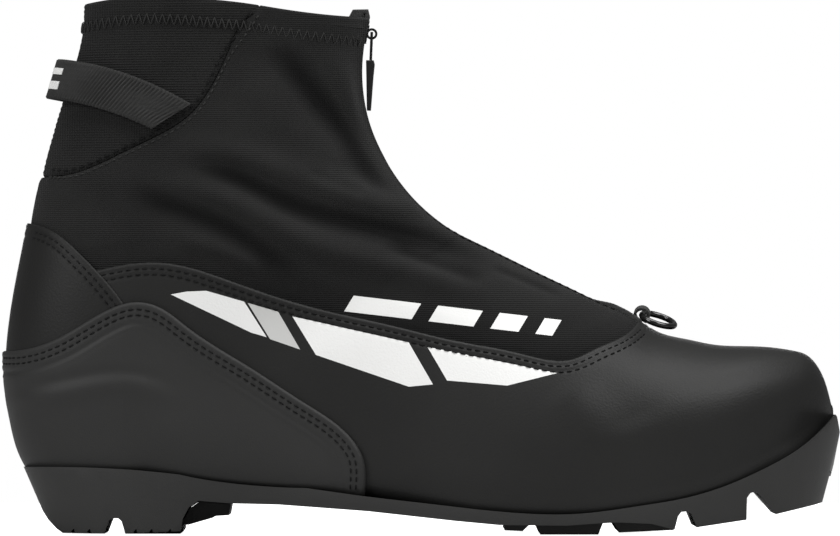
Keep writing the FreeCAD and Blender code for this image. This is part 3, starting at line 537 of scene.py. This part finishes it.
def stroke(x, z, line, width, taper=0.25):
    """Soft ridge along a bent side-view line, fading at both ends."""
    line = smooth(line, 3.0)
    best = np.full(x.shape, 1e9)
    place = np.zeros(x.shape)
    run = np.linspace(0, 1, len(line))
    for k in range(len(line) - 1):
        a, b = line[k], line[k + 1]
        d = b - a
        t = np.clip(((x - a[0]) * d[0] + (z - a[1]) * d[1]) / (d @ d), 0, 1)
        near = np.hypot(x - a[0] - t * d[0], z - a[1] - t * d[1])
        closer = near < best
        best = np.where(closer, near, best)
        place = np.where(closer, run[k] + t * (run[k + 1] - run[k]), place)
    fade = np.clip(np.minimum(place, 1 - place) / taper, 0, 1)
    return bell(best, width) * fade * fade * (3 - 2 * fade)


# Each fold: its line in side view, its width, and its height over the cloth, below 0 for a valley.
FOLDS = [
    ([(-92, 132), (-84, 131.6), (-66, 126.8), (-48, 117.8), (-29, 112.2), (-4, 106.6), (14, 101), (34, 92.5)],
     4.8, -1.7),
    ([(-98, 133), (-78, 136), (-52, 130.5), (-28, 122), (-8, 115.5), (12, 108)], 5.5, 1.7),
    ([(-108, 122), (-88, 116.2), (-70, 109), (-54, 98.1), (-41, 89)], 4.6, -1.4),
    ([(-100, 127.5), (-80, 123), (-62, 116), (-43, 105.2), (-21, 98), (8, 90), (30, 84)], 5.0, 1.7),
    ([(-56, 177), (-52, 172.6), (-43, 162.5), (-34, 151.6), (-25, 140.7), (-15, 125.5), (-5, 117)],
     4.8, -1.6),
    ([(-31, 176), (-27, 160), (-22, 146), (-13, 131), (-3, 119)], 4.0, 1.2),
    ([(-66, 164), (-52, 152), (-40, 138), (-28, 128)], 7.0, 1.0),
    ([(-42, 129.5), (-30, 124.5), (-18, 119.4)], 2.2, -0.5),
    ([(24, 96), (38, 90.5), (52, 84.5)], 1.5, -0.6),
    ([(-14, 103.5), (7, 95.5), (26, 89.5)], 3.2, -1.0),
    ([(-88, 104), (-70, 100), (-54, 93)], 4.0, 0.7),
]


def drape(x, y, z):
    """Soft folds that run from the throat round the ankle, a little different on each side."""
    total = np.zeros(x.shape)
    for line, width, high in FOLDS:
        total += 1.35 * high * stroke(x, z, line, width)
    lean = np.where(y > 0, 0.8, 1.0)
    ripple = (np.sin(x * 0.093 + z * 0.21 + np.sign(y) * 0.8) * np.sin(x * 0.051 - z * 0.083 + 1.3)
              + 0.5 * np.sin(x * 0.19 - z * 0.15) * np.sin(z * 0.11 + 0.4))
    return total * lean + 0.16 * ripple


def groove(field, place, width=0.55, depth=0.28):
    return -depth * bell(field - place, width)


fade_top = np.clip(collar_zone / 14.0, 0, 1)
fade_slot = np.clip((slot_gap - 1.0) / 10.0, 0, 1)
draped = drape(skin.x, skin.y, skin.z)
folds = np.maximum(draped + LOOSENESS, DEEPEST_FOLD) * fade_top * fade_slot

# Vamp: smooth satin panel, edge turned in with two stitch rows.
vamp_height = groove(vamp_zone, 2.2) + groove(vamp_zone, 4.3) + 0.12 * bell(vamp_zone - 3.2, 0.9)
vamp_height = vamp_height + 0.18 * np.sin(skin.x * 0.045 + 0.6) * np.sin(skin.z * 0.09)
vamp_height = (vamp_height - 0.7 * stroke(skin.x, skin.z, [(60, 60), (70, 50), (78, 36)], 9.0)
               + 0.5 * stroke(skin.x, skin.z, [(48, 54), (58, 42), (64, 28)], 8.0))
feather_line = np.array([(-160.0, 23.4), (-129.4, 23.8), (-112.2, 23.4), (-96.1, 22.3), (-80.1, 20.6),
                         (-60.9, 18.8), (-36.1, 15.8), (-19.8, 13.5), (2.9, 10.9), (24.2, 8.5), (38.4, 7.4),
                         (57.9, 7.5), (76.2, 9.9), (94.5, 13.0), (109.1, 17.4), (123.8, 23.9),
                         (134.7, 30.0), (144.2, 38.0), (148.3, 42.4)])
over_sole = skin.z - np.interp(skin.x, feather_line[:, 0], feather_line[:, 1])
front_share = np.clip((skin.x + 20) / 40, 0, 1) * np.clip((144 - skin.x) / 14, 0, 1)
vamp_height = vamp_height + 2.3 * front_share * bell(np.maximum(over_sole, 0.0), 3.6)
panel("vamp", np.minimum(vamp_zone, above_floor), vamp_height, -1.2, vamp_mat, 0.7,
      nodes=["vamp_and_quarter"], slot="vamp_leather")

counter_height = 1.2 + groove(counter_zone, 2.4) + groove(counter_zone, 4.6)
counter_height = counter_height + 0.12 * bell(counter_zone - 3.5, 0.9)
panel("counter", np.minimum(counter_zone, above_floor), counter_height, 0.0, counter_mat, 0.6,
      nodes=["heel_counter_panel"], slot="vamp_leather")

overlay_field = np.minimum(overlay_zone, above_floor)
band = 1 / (1 + np.exp((overlay_zone - 6.8) / 0.35))
lift = 1.9 + 0.6 * band + 0.35 * bell(overlay_zone - 8.6, 0.55)
lift = lift + groove(overlay_zone, 2.6) + groove(overlay_zone, 4.6)
crease_x = [(-150, 49.5), (-137, 51.3), (-122, 54.2), (-107, 56.2), (-93, 53.5), (-82, 47.0)]
ledge_share = np.clip((-97 - skin.x) / 8, 0, 1) * np.clip((skin.x + 152) / 10, 0, 1)
lift = lift + ledge_share / (1 + np.exp(np.clip((8.6 - overlay_zone) / 0.7, -40, 40)))
lift = lift + 0.75 * stroke(skin.x, skin.z + 3.0, crease_x, 3.6, 0.3)
lift = lift - 0.45 * stroke(skin.x, skin.z - 1.5, crease_x, 2.2, 0.3)
panel("heel_wrap", overlay_field, lift, 0.0, overlay_mat, 0.8, nodes=["heel_overlay"],
      slot="heel_plastic")

# Gaiter in two halves and the ribbed panel at the back of the ankle.
gaiter_outline = closed(smooth([(-160, 98), (-146, 97), (-120, 86), (-89.7, 88), (-51.9, 77), (-10.8, 66.5),
                                (35.9, 56.5), (60, 54), (86, 62)]), [(86, 260), (-56.4, 260)])
gaiter_outline = np.concatenate([gaiter_outline, seam_line, [(-FAR, 129), (-FAR, 98)]])
gaiter_zone = skin.inside(gaiter_outline)
gaiter_field = np.minimum(np.minimum(gaiter_zone, slot_gap), collar_zone + 0.2)
seam_soft = 0.35 * bell(rear_zone + 2.2, 1.6) - 0.4 * bell(rear_zone, 0.8)
slot_roll = 0.35 * bell(slot_gap - 1.6, 1.3) + groove(slot_gap, 3.2, 0.5, 0.25)
slot_roll = slot_roll + 0.9 * bell(slot_gap - 2.0, 2.4) * np.clip((skin.z - 110) / 25, 0, 1)
gaiter_height = -FLUSH + folds + seam_soft + slot_roll
gaiter_height = np.where(vamp_zone > -1.5, np.minimum(gaiter_height, -FLUSH), gaiter_height)
soft_in = np.clip(-vamp_zone / 9.0, 0, 1)
gaiter_height = -FLUSH + (gaiter_height + FLUSH) * soft_in * np.clip(-rear_zone / 9.0 + 0.35, 0, 1)
collar_roll = 0.22 * bell(np.maximum(collar_zone - 3.0, 0), 2.5)
gaiter_height = gaiter_height + collar_roll
for side, name, node in ((-1, "gaiter_outer_side", "gaiter_lateral"),
                         (1, "gaiter_inner_side", "gaiter_medial")):
    mesh = panel(name, np.minimum(gaiter_field, side * skin.y - 0.05), gaiter_height, -2.5, shell_mat, 0.5,
                 nodes=[node], slot="softshell").data
    # Painted shade: the cloth colour is darkened in the fold valleys and in a band up to 30 mm above the vamp
    # edge towards the front.
    spots = np.zeros(len(mesh.vertices) * 3)
    mesh.vertices.foreach_get("co", spots)
    spots = spots.reshape(-1, 3) / MM
    depth = np.clip(-drape(spots[:, 0], spots[:, 1], spots[:, 2]) / 2.2, 0, 1) ** 0.8
    above = spots[:, 2] - np.interp(spots[:, 0], quarter_line[:, 0], quarter_line[:, 1])
    low_front_shade = np.clip(1 - above / 30, 0, 1) * np.clip((spots[:, 0] + 105) / 50, 0, 1)
    painted_shade = 1 - (1 - 0.85 * depth) * (1 - 0.6 * low_front_shade)
    mesh.attributes.new("painted_shade", "FLOAT", "POINT").data.foreach_set("value", painted_shade)
rear_field = np.minimum(rear_zone - 0.1, collar_zone + 0.2)
rear_folds = 0.6 * np.clip(draped, DEEPEST_FOLD, 2.0) * fade_top * np.clip(rear_zone / 12, 0, 1)
rear_height = -FLUSH + rear_folds - 0.4 * bell(rear_zone, 0.9)
rear_height = rear_height + 0.12 * np.sin(skin.z * 2 * math.pi / 1.9) + collar_roll
panel("ankle_rib_panel", rear_field, rear_height, -2.5, rib_mat, 0.5, nodes=["ankle_stretch_panel"],
      slot="rib_knit")

# ------------------------------------------------------------------ placing things on the skin

flat_index = np.arange(skin.x.size).reshape(skin.x.shape)
quads = np.stack([flat_index[:-1], np.roll(flat_index, -1, 1)[:-1], np.roll(flat_index, -1, 1)[1:],
                  flat_index[1:]], -1).reshape(-1, 4)
finder = BVHTree.FromPolygons([Vector(p) for p in skin.p.reshape(-1, 3)], quads.tolist())


def on_side(x, z, side):
    """Skin point and outward normal seen from one side at a side-view place."""
    hit, normal, _, _ = finder.ray_cast(Vector((x, side * 150, z)), Vector((0, -side, 0)))
    if hit is None:
        return None
    normal = np.array(normal)
    if normal[1] * side < 0:
        normal = -normal
    return np.array(hit), normal


def run_of(points):
    points = np.asarray(points, float)
    return np.concatenate([[0], np.cumsum(np.linalg.norm(np.diff(points, axis=0), axis=1))])


def offset_line(line, distance):
    """Side-view line moved sideways; positive goes to the right of its direction."""
    step = np.gradient(line, axis=0)
    step = step / np.maximum(np.linalg.norm(step, axis=1, keepdims=True), 1e-9)
    return line + np.stack([step[:, 1], -step[:, 0]], 1) * distance


def surface_line(line, side, lift):
    places, normals = [], []
    for x, z in line:
        found = on_side(x, z, side)
        if found is None:
            continue
        places.append(found[0] + found[1] * lift)
        normals.append(found[1])
    return np.array(places), np.array(normals)


def threads(rows, length=2.1, gap=0.9, radius=0.27):
    """Capsule stitches lying along lines; rows holds (places, normals) pairs."""
    points, faces = [], []
    for places, normals in rows:
        if len(places) < 3:
            continue
        run = run_of(places)
        count = max(1, round(run[-1] / (length + gap)))
        pitch = run[-1] / count
        for k in range(count):
            at = k * pitch + gap / 2 + np.array([0, 0.14, 0.5, 0.86, 1.0]) * (pitch - gap)
            centre = np.stack([np.interp(at, run, places[:, j]) for j in range(3)], 1)
            up = np.array([np.interp(at[2], run, normals[:, j]) for j in range(3)])
            up /= np.linalg.norm(up)
            ahead = centre[-1] - centre[0]
            ahead /= max(np.linalg.norm(ahead), 1e-9)
            side = np.cross(up, ahead)
            side /= max(np.linalg.norm(side), 1e-9)
            base = len(points)
            for c, fat, sink in zip(centre, (0.35, 0.9, 1.0, 0.9, 0.35), (-0.3, 0.02, 0.12, 0.02, -0.3)):
                for j in range(6):
                    turn = j * math.pi / 3
                    round_it = side * math.cos(turn) + up * math.sin(turn)
                    points.append(c + up * sink + round_it * radius * fat)
            faces += tube_faces(base, 5, 6)
    return points, faces


def stitch_object(name, rows, mat, **sizes):
    points, faces = threads(rows, **sizes)
    return link(name, mesh_of(name, points, faces), mat)


both = (-1, 1)
quarter_seen = smooth(QUARTER_EDGE[1:-1] + [(77.5, 74.6)], 1.0)
counter_seen = smooth(COUNTER_EDGE[1:-1], 1.0)
overlay_seen = smooth([(-147.5, 65.2)] + OVERLAY_EDGE[1:-1] + [(-19.9, 16.5)], 1.0)
stitch_object("vamp_stitches", [surface_line(offset_line(quarter_seen, d), side, 0.0)
                                for d in (2.2, 4.3) for side in both], dark_thread)
stitch_object("counter_stitches", [surface_line(offset_line(counter_seen, d)[4:], side, 1.15)
                                   for d in (2.4, 4.6) for side in both], dark_thread)
stitch_object("heel_wrap_stitches", [surface_line(offset_line(overlay_seen, d), side, 2.45)
                                     for d in (2.6, 4.6) for side in both], dark_thread)
seam_seen = smooth([(-58.0, 185.5), (-60.9, 181.0)] + ANKLE_SEAM[3:-1] + [(-133.0, 128.6)], 1.0)
stitch_object("ankle_seam_stitches", [surface_line(offset_line(seam_seen, 1.5), side, -FLUSH + 0.2)
                                      for side in both], dark_thread, length=2.4, gap=1.2, radius=0.36)
stitch_object("ankle_seam_threads", [surface_line(offset_line(seam_seen, -1.1), side, -FLUSH + 0.62)
                                     for side in both], thread_mat, length=1.6, gap=1.0, radius=0.32)


def ring_place(angle, drop):
    """Skin point seen from outside at an angle round the collar, drop below its edge."""
    out = Vector((math.cos(angle), math.sin(angle), 0))
    x = -72 + 45 * math.cos(angle)
    hit = None
    for _ in range(3):
        z = float(np.interp(x, collar_line[:, 0], collar_line[:, 1])) - drop
        hit, normal, _, _ = finder.ray_cast(Vector((-72, 0, z)) + out * 120, -out)
        if hit is None:
            return None
        x = hit.x
    normal = np.array(normal)
    if normal @ np.array(out) < 0:
        normal = -normal
    return np.array(hit), normal


# Rows of stitches along both edges of the front slot.
slot_rows = []
slot_row_at = 7.9
for side in both:
    places, normals = [], []
    for high in np.arange(182.0, 80.0, -0.7):
        hit, normal, _, _ = finder.ray_cast(Vector((200, side * slot_row_at, high)), Vector((-1, 0, 0)))
        if hit is not None:
            normal = np.array(normal) * (1 if normal.x > 0 else -1)
            places.append(np.array(hit) + normal * (-FLUSH + 0.3))
            normals.append(normal)
    slot_rows.append((np.array(places), np.array(normals)))
stitch_object("slot_stitches", slot_rows, dark_thread, length=2.0, gap=1.0, radius=0.34)

# Zigzag row under the collar edge.
zig_rows = []
steps = 168
zig_start, zig_end = math.radians(7.5), math.radians(352.5)
previous = None
for k in range(steps + 1):
    angle = zig_start + (zig_end - zig_start) * k / steps
    found = ring_place(angle, 6.0 if k % 2 else 10.2)
    if found is None:
        previous = None
        continue
    here = (found[0] + found[1] * (-FLUSH + 0.55), found[1])
    if previous is not None:
        share = np.linspace(0, 1, 5)[:, None]
        zig_rows.append((previous[0] * (1 - share) + here[0] * share,
                         previous[1] * (1 - share) + here[1] * share))
    previous = here
stitch_object("collar_zigzag", zig_rows, thread_mat, length=4.2, gap=0.1, radius=0.22)

# Rolled collar edge over the gaiter, padding and lining.
points = []
profile = [(-1.25, -2.7), (-1.2, -1.4), (-1.35, -0.6), (-1.9, 0.0), (-2.9, 0.25), (-4.4, 0.3), (-5.8, 0.2),
           (-6.8, -0.3), (-7.3, -1.2), (-7.4, -3.2)]
count = 220
lowest = 6.3
for k in range(count + 1):
    angle = math.radians(lowest) + math.radians(360 - 2 * lowest) * k / count
    found = ring_place(angle, 0.6)
    for depth, rise in profile:
        points.append(found[0] + found[1] * np.array([1, 1, 0]) * depth + np.array([0, 0, rise + 0.2]))
span = len(profile)
faces = sheet_faces(count, span)
for k in (0, count):
    ring = [k * span + j for j in range(span)]
    faces.append(tuple(ring if k == 0 else ring[::-1]))
link("collar_roll", mesh_of("collar_roll", points, faces), shell_mat, nodes=["collar_binding"],
     slot="softshell")

# ------------------------------------------------------------------ printed shapes

def tree_of(obj):
    mesh = obj.data
    return BVHTree.FromPolygons([v.co / MM for v in mesh.vertices],
                                [tuple(p.vertices) for p in mesh.polygons])


def printed(name, outline, tree, mat, side=-1, lift=0.07, pitch=0.9):
    """Thin flat shape with crisp edges laid on a panel as seen from one side."""
    outline = np.asarray(outline, float)
    rim = []
    for a, b in zip(outline, np.roll(outline, -1, 0)):
        count = max(1, int(np.linalg.norm(b - a) / pitch))
        rim += [a + (b - a) * k / count for k in range(count)]
    low, high = outline.min(0), outline.max(0)
    inner = []
    for x in np.arange(low[0], high[0], pitch):
        for z in np.arange(low[1], high[1], pitch):
            odd = False
            for a, b in zip(outline, np.roll(outline, -1, 0)):
                if (a[1] > z) != (b[1] > z) and x < a[0] + (z - a[1]) / (b[1] - a[1]) * (b[0] - a[0]):
                    odd = not odd
            if odd:
                inner.append(np.array([x, z]))
    count = len(rim)
    edges = [(k, (k + 1) % count) for k in range(count)]
    places, _, faces, _, _, _ = delaunay_2d_cdt([Vector(p) for p in rim + inner], edges,
                                                [list(range(count))], 1, 1e-5)
    points = []
    for x, z in places:
        hit, normal, _, _ = tree.ray_cast(Vector((x, side * 150, z)), Vector((0, -side, 0)))
        if hit is None:
            hit, normal = Vector((x, side * 40, z)), Vector((0, side, 0))
        if normal.y * side < 0:
            normal = -normal
        points.append(np.array(hit) + np.array(normal) * lift)
    return link(name, mesh_of(name, points, faces), mat)


vamp_tree = tree_of(bpy.data.objects["vamp"])
gaiter_tree = tree_of(bpy.data.objects["gaiter_outer_side"])
printed("side_stripe_rear", [(-88.6, 85.2), (-83, 86.2), (-76, 86.5), (-62.5, 82.6), (-54.5, 70.0),
                             (-60, 71.6)], vamp_tree, white_mat)
printed("side_stripe_grey", [(-61.3, 82.2), (-50.4, 79.0), (-42.6, 65.6), (-53.3, 69.3)], vamp_tree,
        grey_mat)
printed("side_stripe_middle", [(-45.4, 77.4), (-4.0, 68.1), (4.6, 53.2), (-4, 52.4), (-37.0, 63.7)],
        vamp_tree, white_mat)
printed("side_stripe_front", [(2.6, 66.6), (48.6, 57.2), (31.0, 52.8), (9.6, 54.6)], vamp_tree, white_mat)
slope = -0.118
for k, (start, long) in enumerate(((-27.0, 24.0), (3.0, 16.0), (25.0, 10.0), (41.0, 6.0))):
    z = 79.2 + slope * (start + 27.0)
    printed("gaiter_bar_%d" % (k + 1),
            [(start, z), (start + long, z + slope * long), (start + long + 3.4, z + slope * long + 5.6),
             (start + 3.4, z + 5.6)], gaiter_tree, white_mat)

# ------------------------------------------------------------------ zip

tape_field = np.where(front & (skin.n[..., 0] > -0.3), np.minimum(8.9 - np.abs(skin.y), 76 - skin.x), -5.0)
tape_field = np.minimum(tape_field, collar_zone + 2.0)
tape_field = np.where(np.abs(skin.y) > 4.6, np.minimum(tape_field, collar_zone - 2.7), tape_field)
weave = 0.06 * np.sin(skin.z * 4.0) - 2.62
for side, name in ((-1, "lateral"), (1, "medial")):
    panel("tape_" + name, np.minimum(tape_field, side * skin.y - 0.35), weave, -3.1, web_mat, 0.15,
          nodes=["zip_tape_" + name], slot="zip_tape")


def zip_spot(distance, radius):
    """Point, direction and outward side in the middle plane, distance along the zip from its top."""
    angle = ZIP_TOP + math.degrees(distance / ZIP_RADIUS)
    if angle <= ARC_END:
        turn = math.radians(angle)
        outward = np.array([-math.cos(turn), 0, -math.sin(turn)])
        ahead = np.array([-math.sin(turn), 0, math.cos(turn)])
        x, z = on_arc(angle, radius)
        return np.array([x, 0, z]), ahead, outward
    past = distance - math.radians(ARC_END - ZIP_TOP) * ZIP_RADIUS
    x, z = on_instep(past, radius)
    cosine, sine = math.cos(INSTEP_SLOPE), math.sin(INSTEP_SLOPE)
    return np.array([x, 0, z]), np.array([cosine, 0, -sine]), np.array([sine, 0, cosine])


zip_length = 152.0
tooth_pitch = 1.45
last_tooth_x = 69.5
for side, name in ((-1, "lateral"), (1, "medial")):
    points, faces = [], []
    count = int(zip_length / tooth_pitch)
    for k in range(count):
        place = 0.6 + (k + (0.25 if side > 0 else -0.25)) * tooth_pitch
        centre, ahead, outward = zip_spot(max(place, 0), ZIP_RADIUS + 0.62)
        if centre[0] > last_tooth_x:
            break
        across = np.array([0, side, 0])
        base = len(points)
        for y, fat in ((0.32, 0.5), (0.5, 0.95), (1.0, 1.0), (1.9, 0.8), (2.5, 0.72), (2.75, 0.3)):
            for j in range(8):
                turn = j * math.pi / 4
                points.append(centre + across * y + ahead * math.cos(turn) * 0.52 * fat
                              + outward * math.sin(turn) * 0.6 * fat)
        faces += tube_faces(base, 6, 8)
    link("zip_teeth_" + name, mesh_of("zip_teeth_" + name, points, faces), zip_mat,
         nodes=["zip_coil_" + name], slot="zip_plastic")

# Cloth end of the ring tab, tapering on to the gaiter.
tail = (skin.x - 61.0) / 9.0
tail_field = np.where(front & (skin.n[..., 0] > -0.3) & (skin.n[..., 2] > 0.2),
                      np.minimum(np.minimum(5.3 - np.abs(skin.y), skin.x - 61.0), 79.5 - skin.x), -5.0)
tail_rise = np.clip(tail, 0, 1) ** 2 * (3 - 2 * np.clip(tail, 0, 1))
panel("ring_tab_tail", tail_field, -1.15 + 1.6 * tail_rise + 0.05 * np.sin(skin.x * 5), -1.9, web_mat, 0.3)

# ------------------------------------------------------------------ heel loop

tilt = math.radians(19.0)
half = [(-76.0, 34.5), (-86.0, 34.4), (-96.0, 33.5), (-110.0, 29.2), (-121.5, 21.8), (-129.0, 11.5)]
bow = np.array(half + [(-131.6, 0.0)] + [(x, -y) for x, y in reversed(half)])
bow_run = np.concatenate([[0], np.cumsum(np.hypot(*np.diff(bow, axis=0).T))])
loop_long = bow_run[-1]
loop_origin = np.array([-134.5 + 133.2 * math.cos(tilt), 0, 155.8 - 133.2 * math.sin(tilt)])
loop_wide = 14.8


def loop_point(run, rise, out):
    """Place on the strap: run along it, rise across its width, out from its inner face."""
    flat = cubic(bow_run, bow, run)
    step = cubic(bow_run, bow, run + 0.3) - cubic(bow_run, bow, run - 0.3)
    step /= np.linalg.norm(step, axis=1, keepdims=True)
    flat = flat + np.stack([step[:, 1], -step[:, 0]], 1) * out[:, None]
    x, y = flat[:, 0], flat[:, 1]
    rise = rise + 2.6 * np.clip(1 - ((x + 108.0) / 25.0) ** 2, 0, 1)
    return np.stack([loop_origin[0] + x * math.cos(tilt) + rise * math.sin(tilt), y,
                     loop_origin[2] - x * math.sin(tilt) + rise * math.cos(tilt)], 1)


def strap_face(run, rise):
    """Height of the ribbed outer face over the strap's inner face."""
    wave = 0.3 * np.sin(run / loop_long * 9 + rise * 0.2) * np.sin(math.pi * run / loop_long)
    return 1.45 + wave + 0.38 * np.cos(2 * math.pi * run / 1.36)


middle = np.array([loop_long / 2])
probe = loop_point(middle, np.array([0.0]), np.array([1.0]))[0, 0]
loop_sign = 1.0 if probe < loop_point(middle, np.array([0.0]), np.array([0.0]))[0, 0] else -1.0
columns = int(loop_long / 0.17)
rises = np.array([0.0, 0.12, 0.5, 1.2, 4.0, 7.4, 10.8, 13.6, 14.3, 14.68, 14.8])
ends = 16.5 - 10.4 * rises / loop_wide
share = np.linspace(0, 1, columns + 1)[:, None]
runs = ends + (loop_long - 2 * ends) * share
tall = np.broadcast_to(rises, runs.shape)
rolled = np.where((tall > 0.3) & (tall < 14.5), 0.0, 0.45)
outer = strap_face(runs, tall) - rolled
inner_face = outer - 1.35 + 2 * rolled
grid_run = np.concatenate([runs, runs[:, ::-1]], 1)
grid_rise = np.concatenate([tall, tall[:, ::-1]], 1)
grid_out = np.concatenate([outer, inner_face[:, ::-1]], 1)
span = grid_run.shape[1]
points = loop_point(grid_run.ravel(), grid_rise.ravel(), loop_sign * grid_out.ravel())
link("heel_loop_strap", mesh_of("heel_loop_strap", points, tube_faces(0, columns + 1, span)), web_mat,
     nodes=["heel_pull_loop"], slot="webbing")
for number, (rise, wide) in enumerate(((3.6, 3.0), (9.1, 2.4))):
    run, high = np.meshgrid(loop_long / 2 + np.linspace(-14, 14, 165), rise + wide * np.linspace(0, 1, 5),
                            indexing="ij")
    points = loop_point(run.ravel(), high.ravel(), loop_sign * (strap_face(run, high).ravel() + 0.12))
    name = "loop_bar_%d" % (number + 1)
    link(name, mesh_of(name, points, sheet_faces(164, 5)), white_mat)

# Rubber root that joins the rear lug to the waist of the sole.
root_side = [(-85.0, 5.6), (-82.4, 9.0), (-79.2, 11.2), (-74.0, 12.2), (-73.0, 13.4), (-80.0, 14.6),
             (-86.5, 13.2), (-88.5, 8.0)]
root_across = (-24.6, -24.2, -8.0, 8.0, 24.2, 24.6)
points = []
for y in root_across:
    centre = np.mean(root_side, axis=0)
    size_now = 0.94 if abs(y) > 24.4 else 1.0
    points += [(centre[0] + (x - centre[0]) * size_now, y, centre[1] + (z - centre[1]) * size_now)
               for x, z in root_side]
faces = tube_faces(0, len(root_across), len(root_side))
link("heel_lug_root", mesh_of("heel_lug_root", points, faces), tread_mat)

# ------------------------------------------------------------------ parts shown as built

for name, width in (("zip_slider", 0.15), ("zip_pull_link", 0.12), ("zip_pull_grip", 0.35),
                    ("zip_end_tab", 0.4), ("ring_tab", 0.3), ("sole_frame", 0.5), ("toe_tip_guard", 0.5),
                    ("heel_tread", 0.25), ("forefoot_tread", 0.25)):
    node = frame["nodes"][name]
    weld = node.modifiers.new("weld", "WELD")
    weld.merge_threshold = 0.00001
    edge = node.modifiers.new("edge", "BEVEL")
    edge.width = width * MM
    edge.segments = 2
    edge.limit_method = "ANGLE"
    edge.angle_limit = math.radians(35)
    edge.harden_normals = False
for name in ("toe_ring", "toe_bar"):
    frame["nodes"][name].modifiers.new("weld", "WELD").merge_threshold = 0.00001

# ------------------------------------------------------------------ floor, light and camera

floor_mat = material("pale_floor", (0.9, 0.9, 0.9), 0.9,
                     leather_look(40.0, 0.0001, (0.58, 0.58, 0.58), (0.62, 0.62, 0.62)), spec=0.1)
floor_shader = floor_mat.node_tree.nodes["Principled BSDF"]
floor_shader.inputs["Emission Color"].default_value = (1, 1, 1, 1)
floor_links = floor_mat.node_tree.links
floor_links.new(floor_mat.node_tree.nodes.new("ShaderNodeLightPath").outputs["Is Camera Ray"],
                floor_shader.inputs["Emission Strength"])
floor_mesh = bpy.data.meshes.new("floor")
floor_mesh.from_pydata([(-1.5, -0.9, 0), (1.5, -0.9, 0), (1.5, 0.9, 0), (-1.5, 0.9, 0)], [], [(0, 1, 2, 3)])
floor = bpy.data.objects.new("floor", floor_mesh)
floor_mesh.materials.append(floor_mat)
bpy.context.scene.collection.objects.link(floor)
floor.location.z = -0.0002
floor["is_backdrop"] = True

world = bpy.data.worlds.new("studio")
bpy.context.scene.world = world
world.use_nodes = True
world_nodes, world_links = world.node_tree.nodes, world.node_tree.links
plain = world_nodes["Background"]
plain.inputs["Color"].default_value = (1, 1, 1, 1)
plain.inputs["Strength"].default_value = 1.0
soft = world_nodes.new("ShaderNodeBackground")
soft.inputs["Color"].default_value = (1, 1, 1, 1)
soft.inputs["Strength"].default_value = 0.16
choice = world_nodes.new("ShaderNodeMixShader")
world_links.new(world_nodes.new("ShaderNodeLightPath").outputs["Is Camera Ray"], choice.inputs["Fac"])
world_links.new(soft.outputs["Background"], choice.inputs[1])
world_links.new(plain.outputs["Background"], choice.inputs[2])
world_links.new(choice.outputs["Shader"], world_nodes["World Output"].inputs["Surface"])


def softbox(name, place, aim, wide, high, power):
    lamp = bpy.data.lights.new(name, "AREA")
    lamp.shape = "RECTANGLE"
    lamp.size = wide
    lamp.size_y = high
    lamp.energy = power
    obj = bpy.data.objects.new(name, lamp)
    obj.location = place
    obj.rotation_euler = (Vector(aim) - Vector(place)).to_track_quat("-Z", "Y").to_euler()
    bpy.context.scene.collection.objects.link(obj)
    obj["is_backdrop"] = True


softbox("far_side", (0.0, 1.4, 0.2), (0, 0, 0.08), 0.9, 0.4, 3.0)
softbox("key", (0.7, -0.6, 1.1), (0.0, 0, 0.08), 0.8, 0.5, 13.0)
softbox("fill", (-1.1, -0.9, 0.8), (0, 0, 0.08), 0.6, 0.7, 11.0)
softbox("top", (0.1, -0.1, 1.3), (0, 0, 0.05), 1.2, 0.7, 13.0)

camera = bpy.data.cameras.new("camera")
camera.lens = 500
camera.sensor_width = 36
camera.clip_start = 0.1
camera.clip_end = 20
eye = bpy.data.objects.new("camera", camera)
bpy.context.scene.collection.objects.link(eye)
eye.location = (0.0, -4.184, 0.06)
eye.rotation_euler = (Vector((0.0, 0.0, 0.0949)) - eye.location).to_track_quat("-Z", "Y").to_euler()
bpy.context.scene.camera = eye
bpy.context.scene.view_settings.view_transform = "Standard"

low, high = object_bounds()
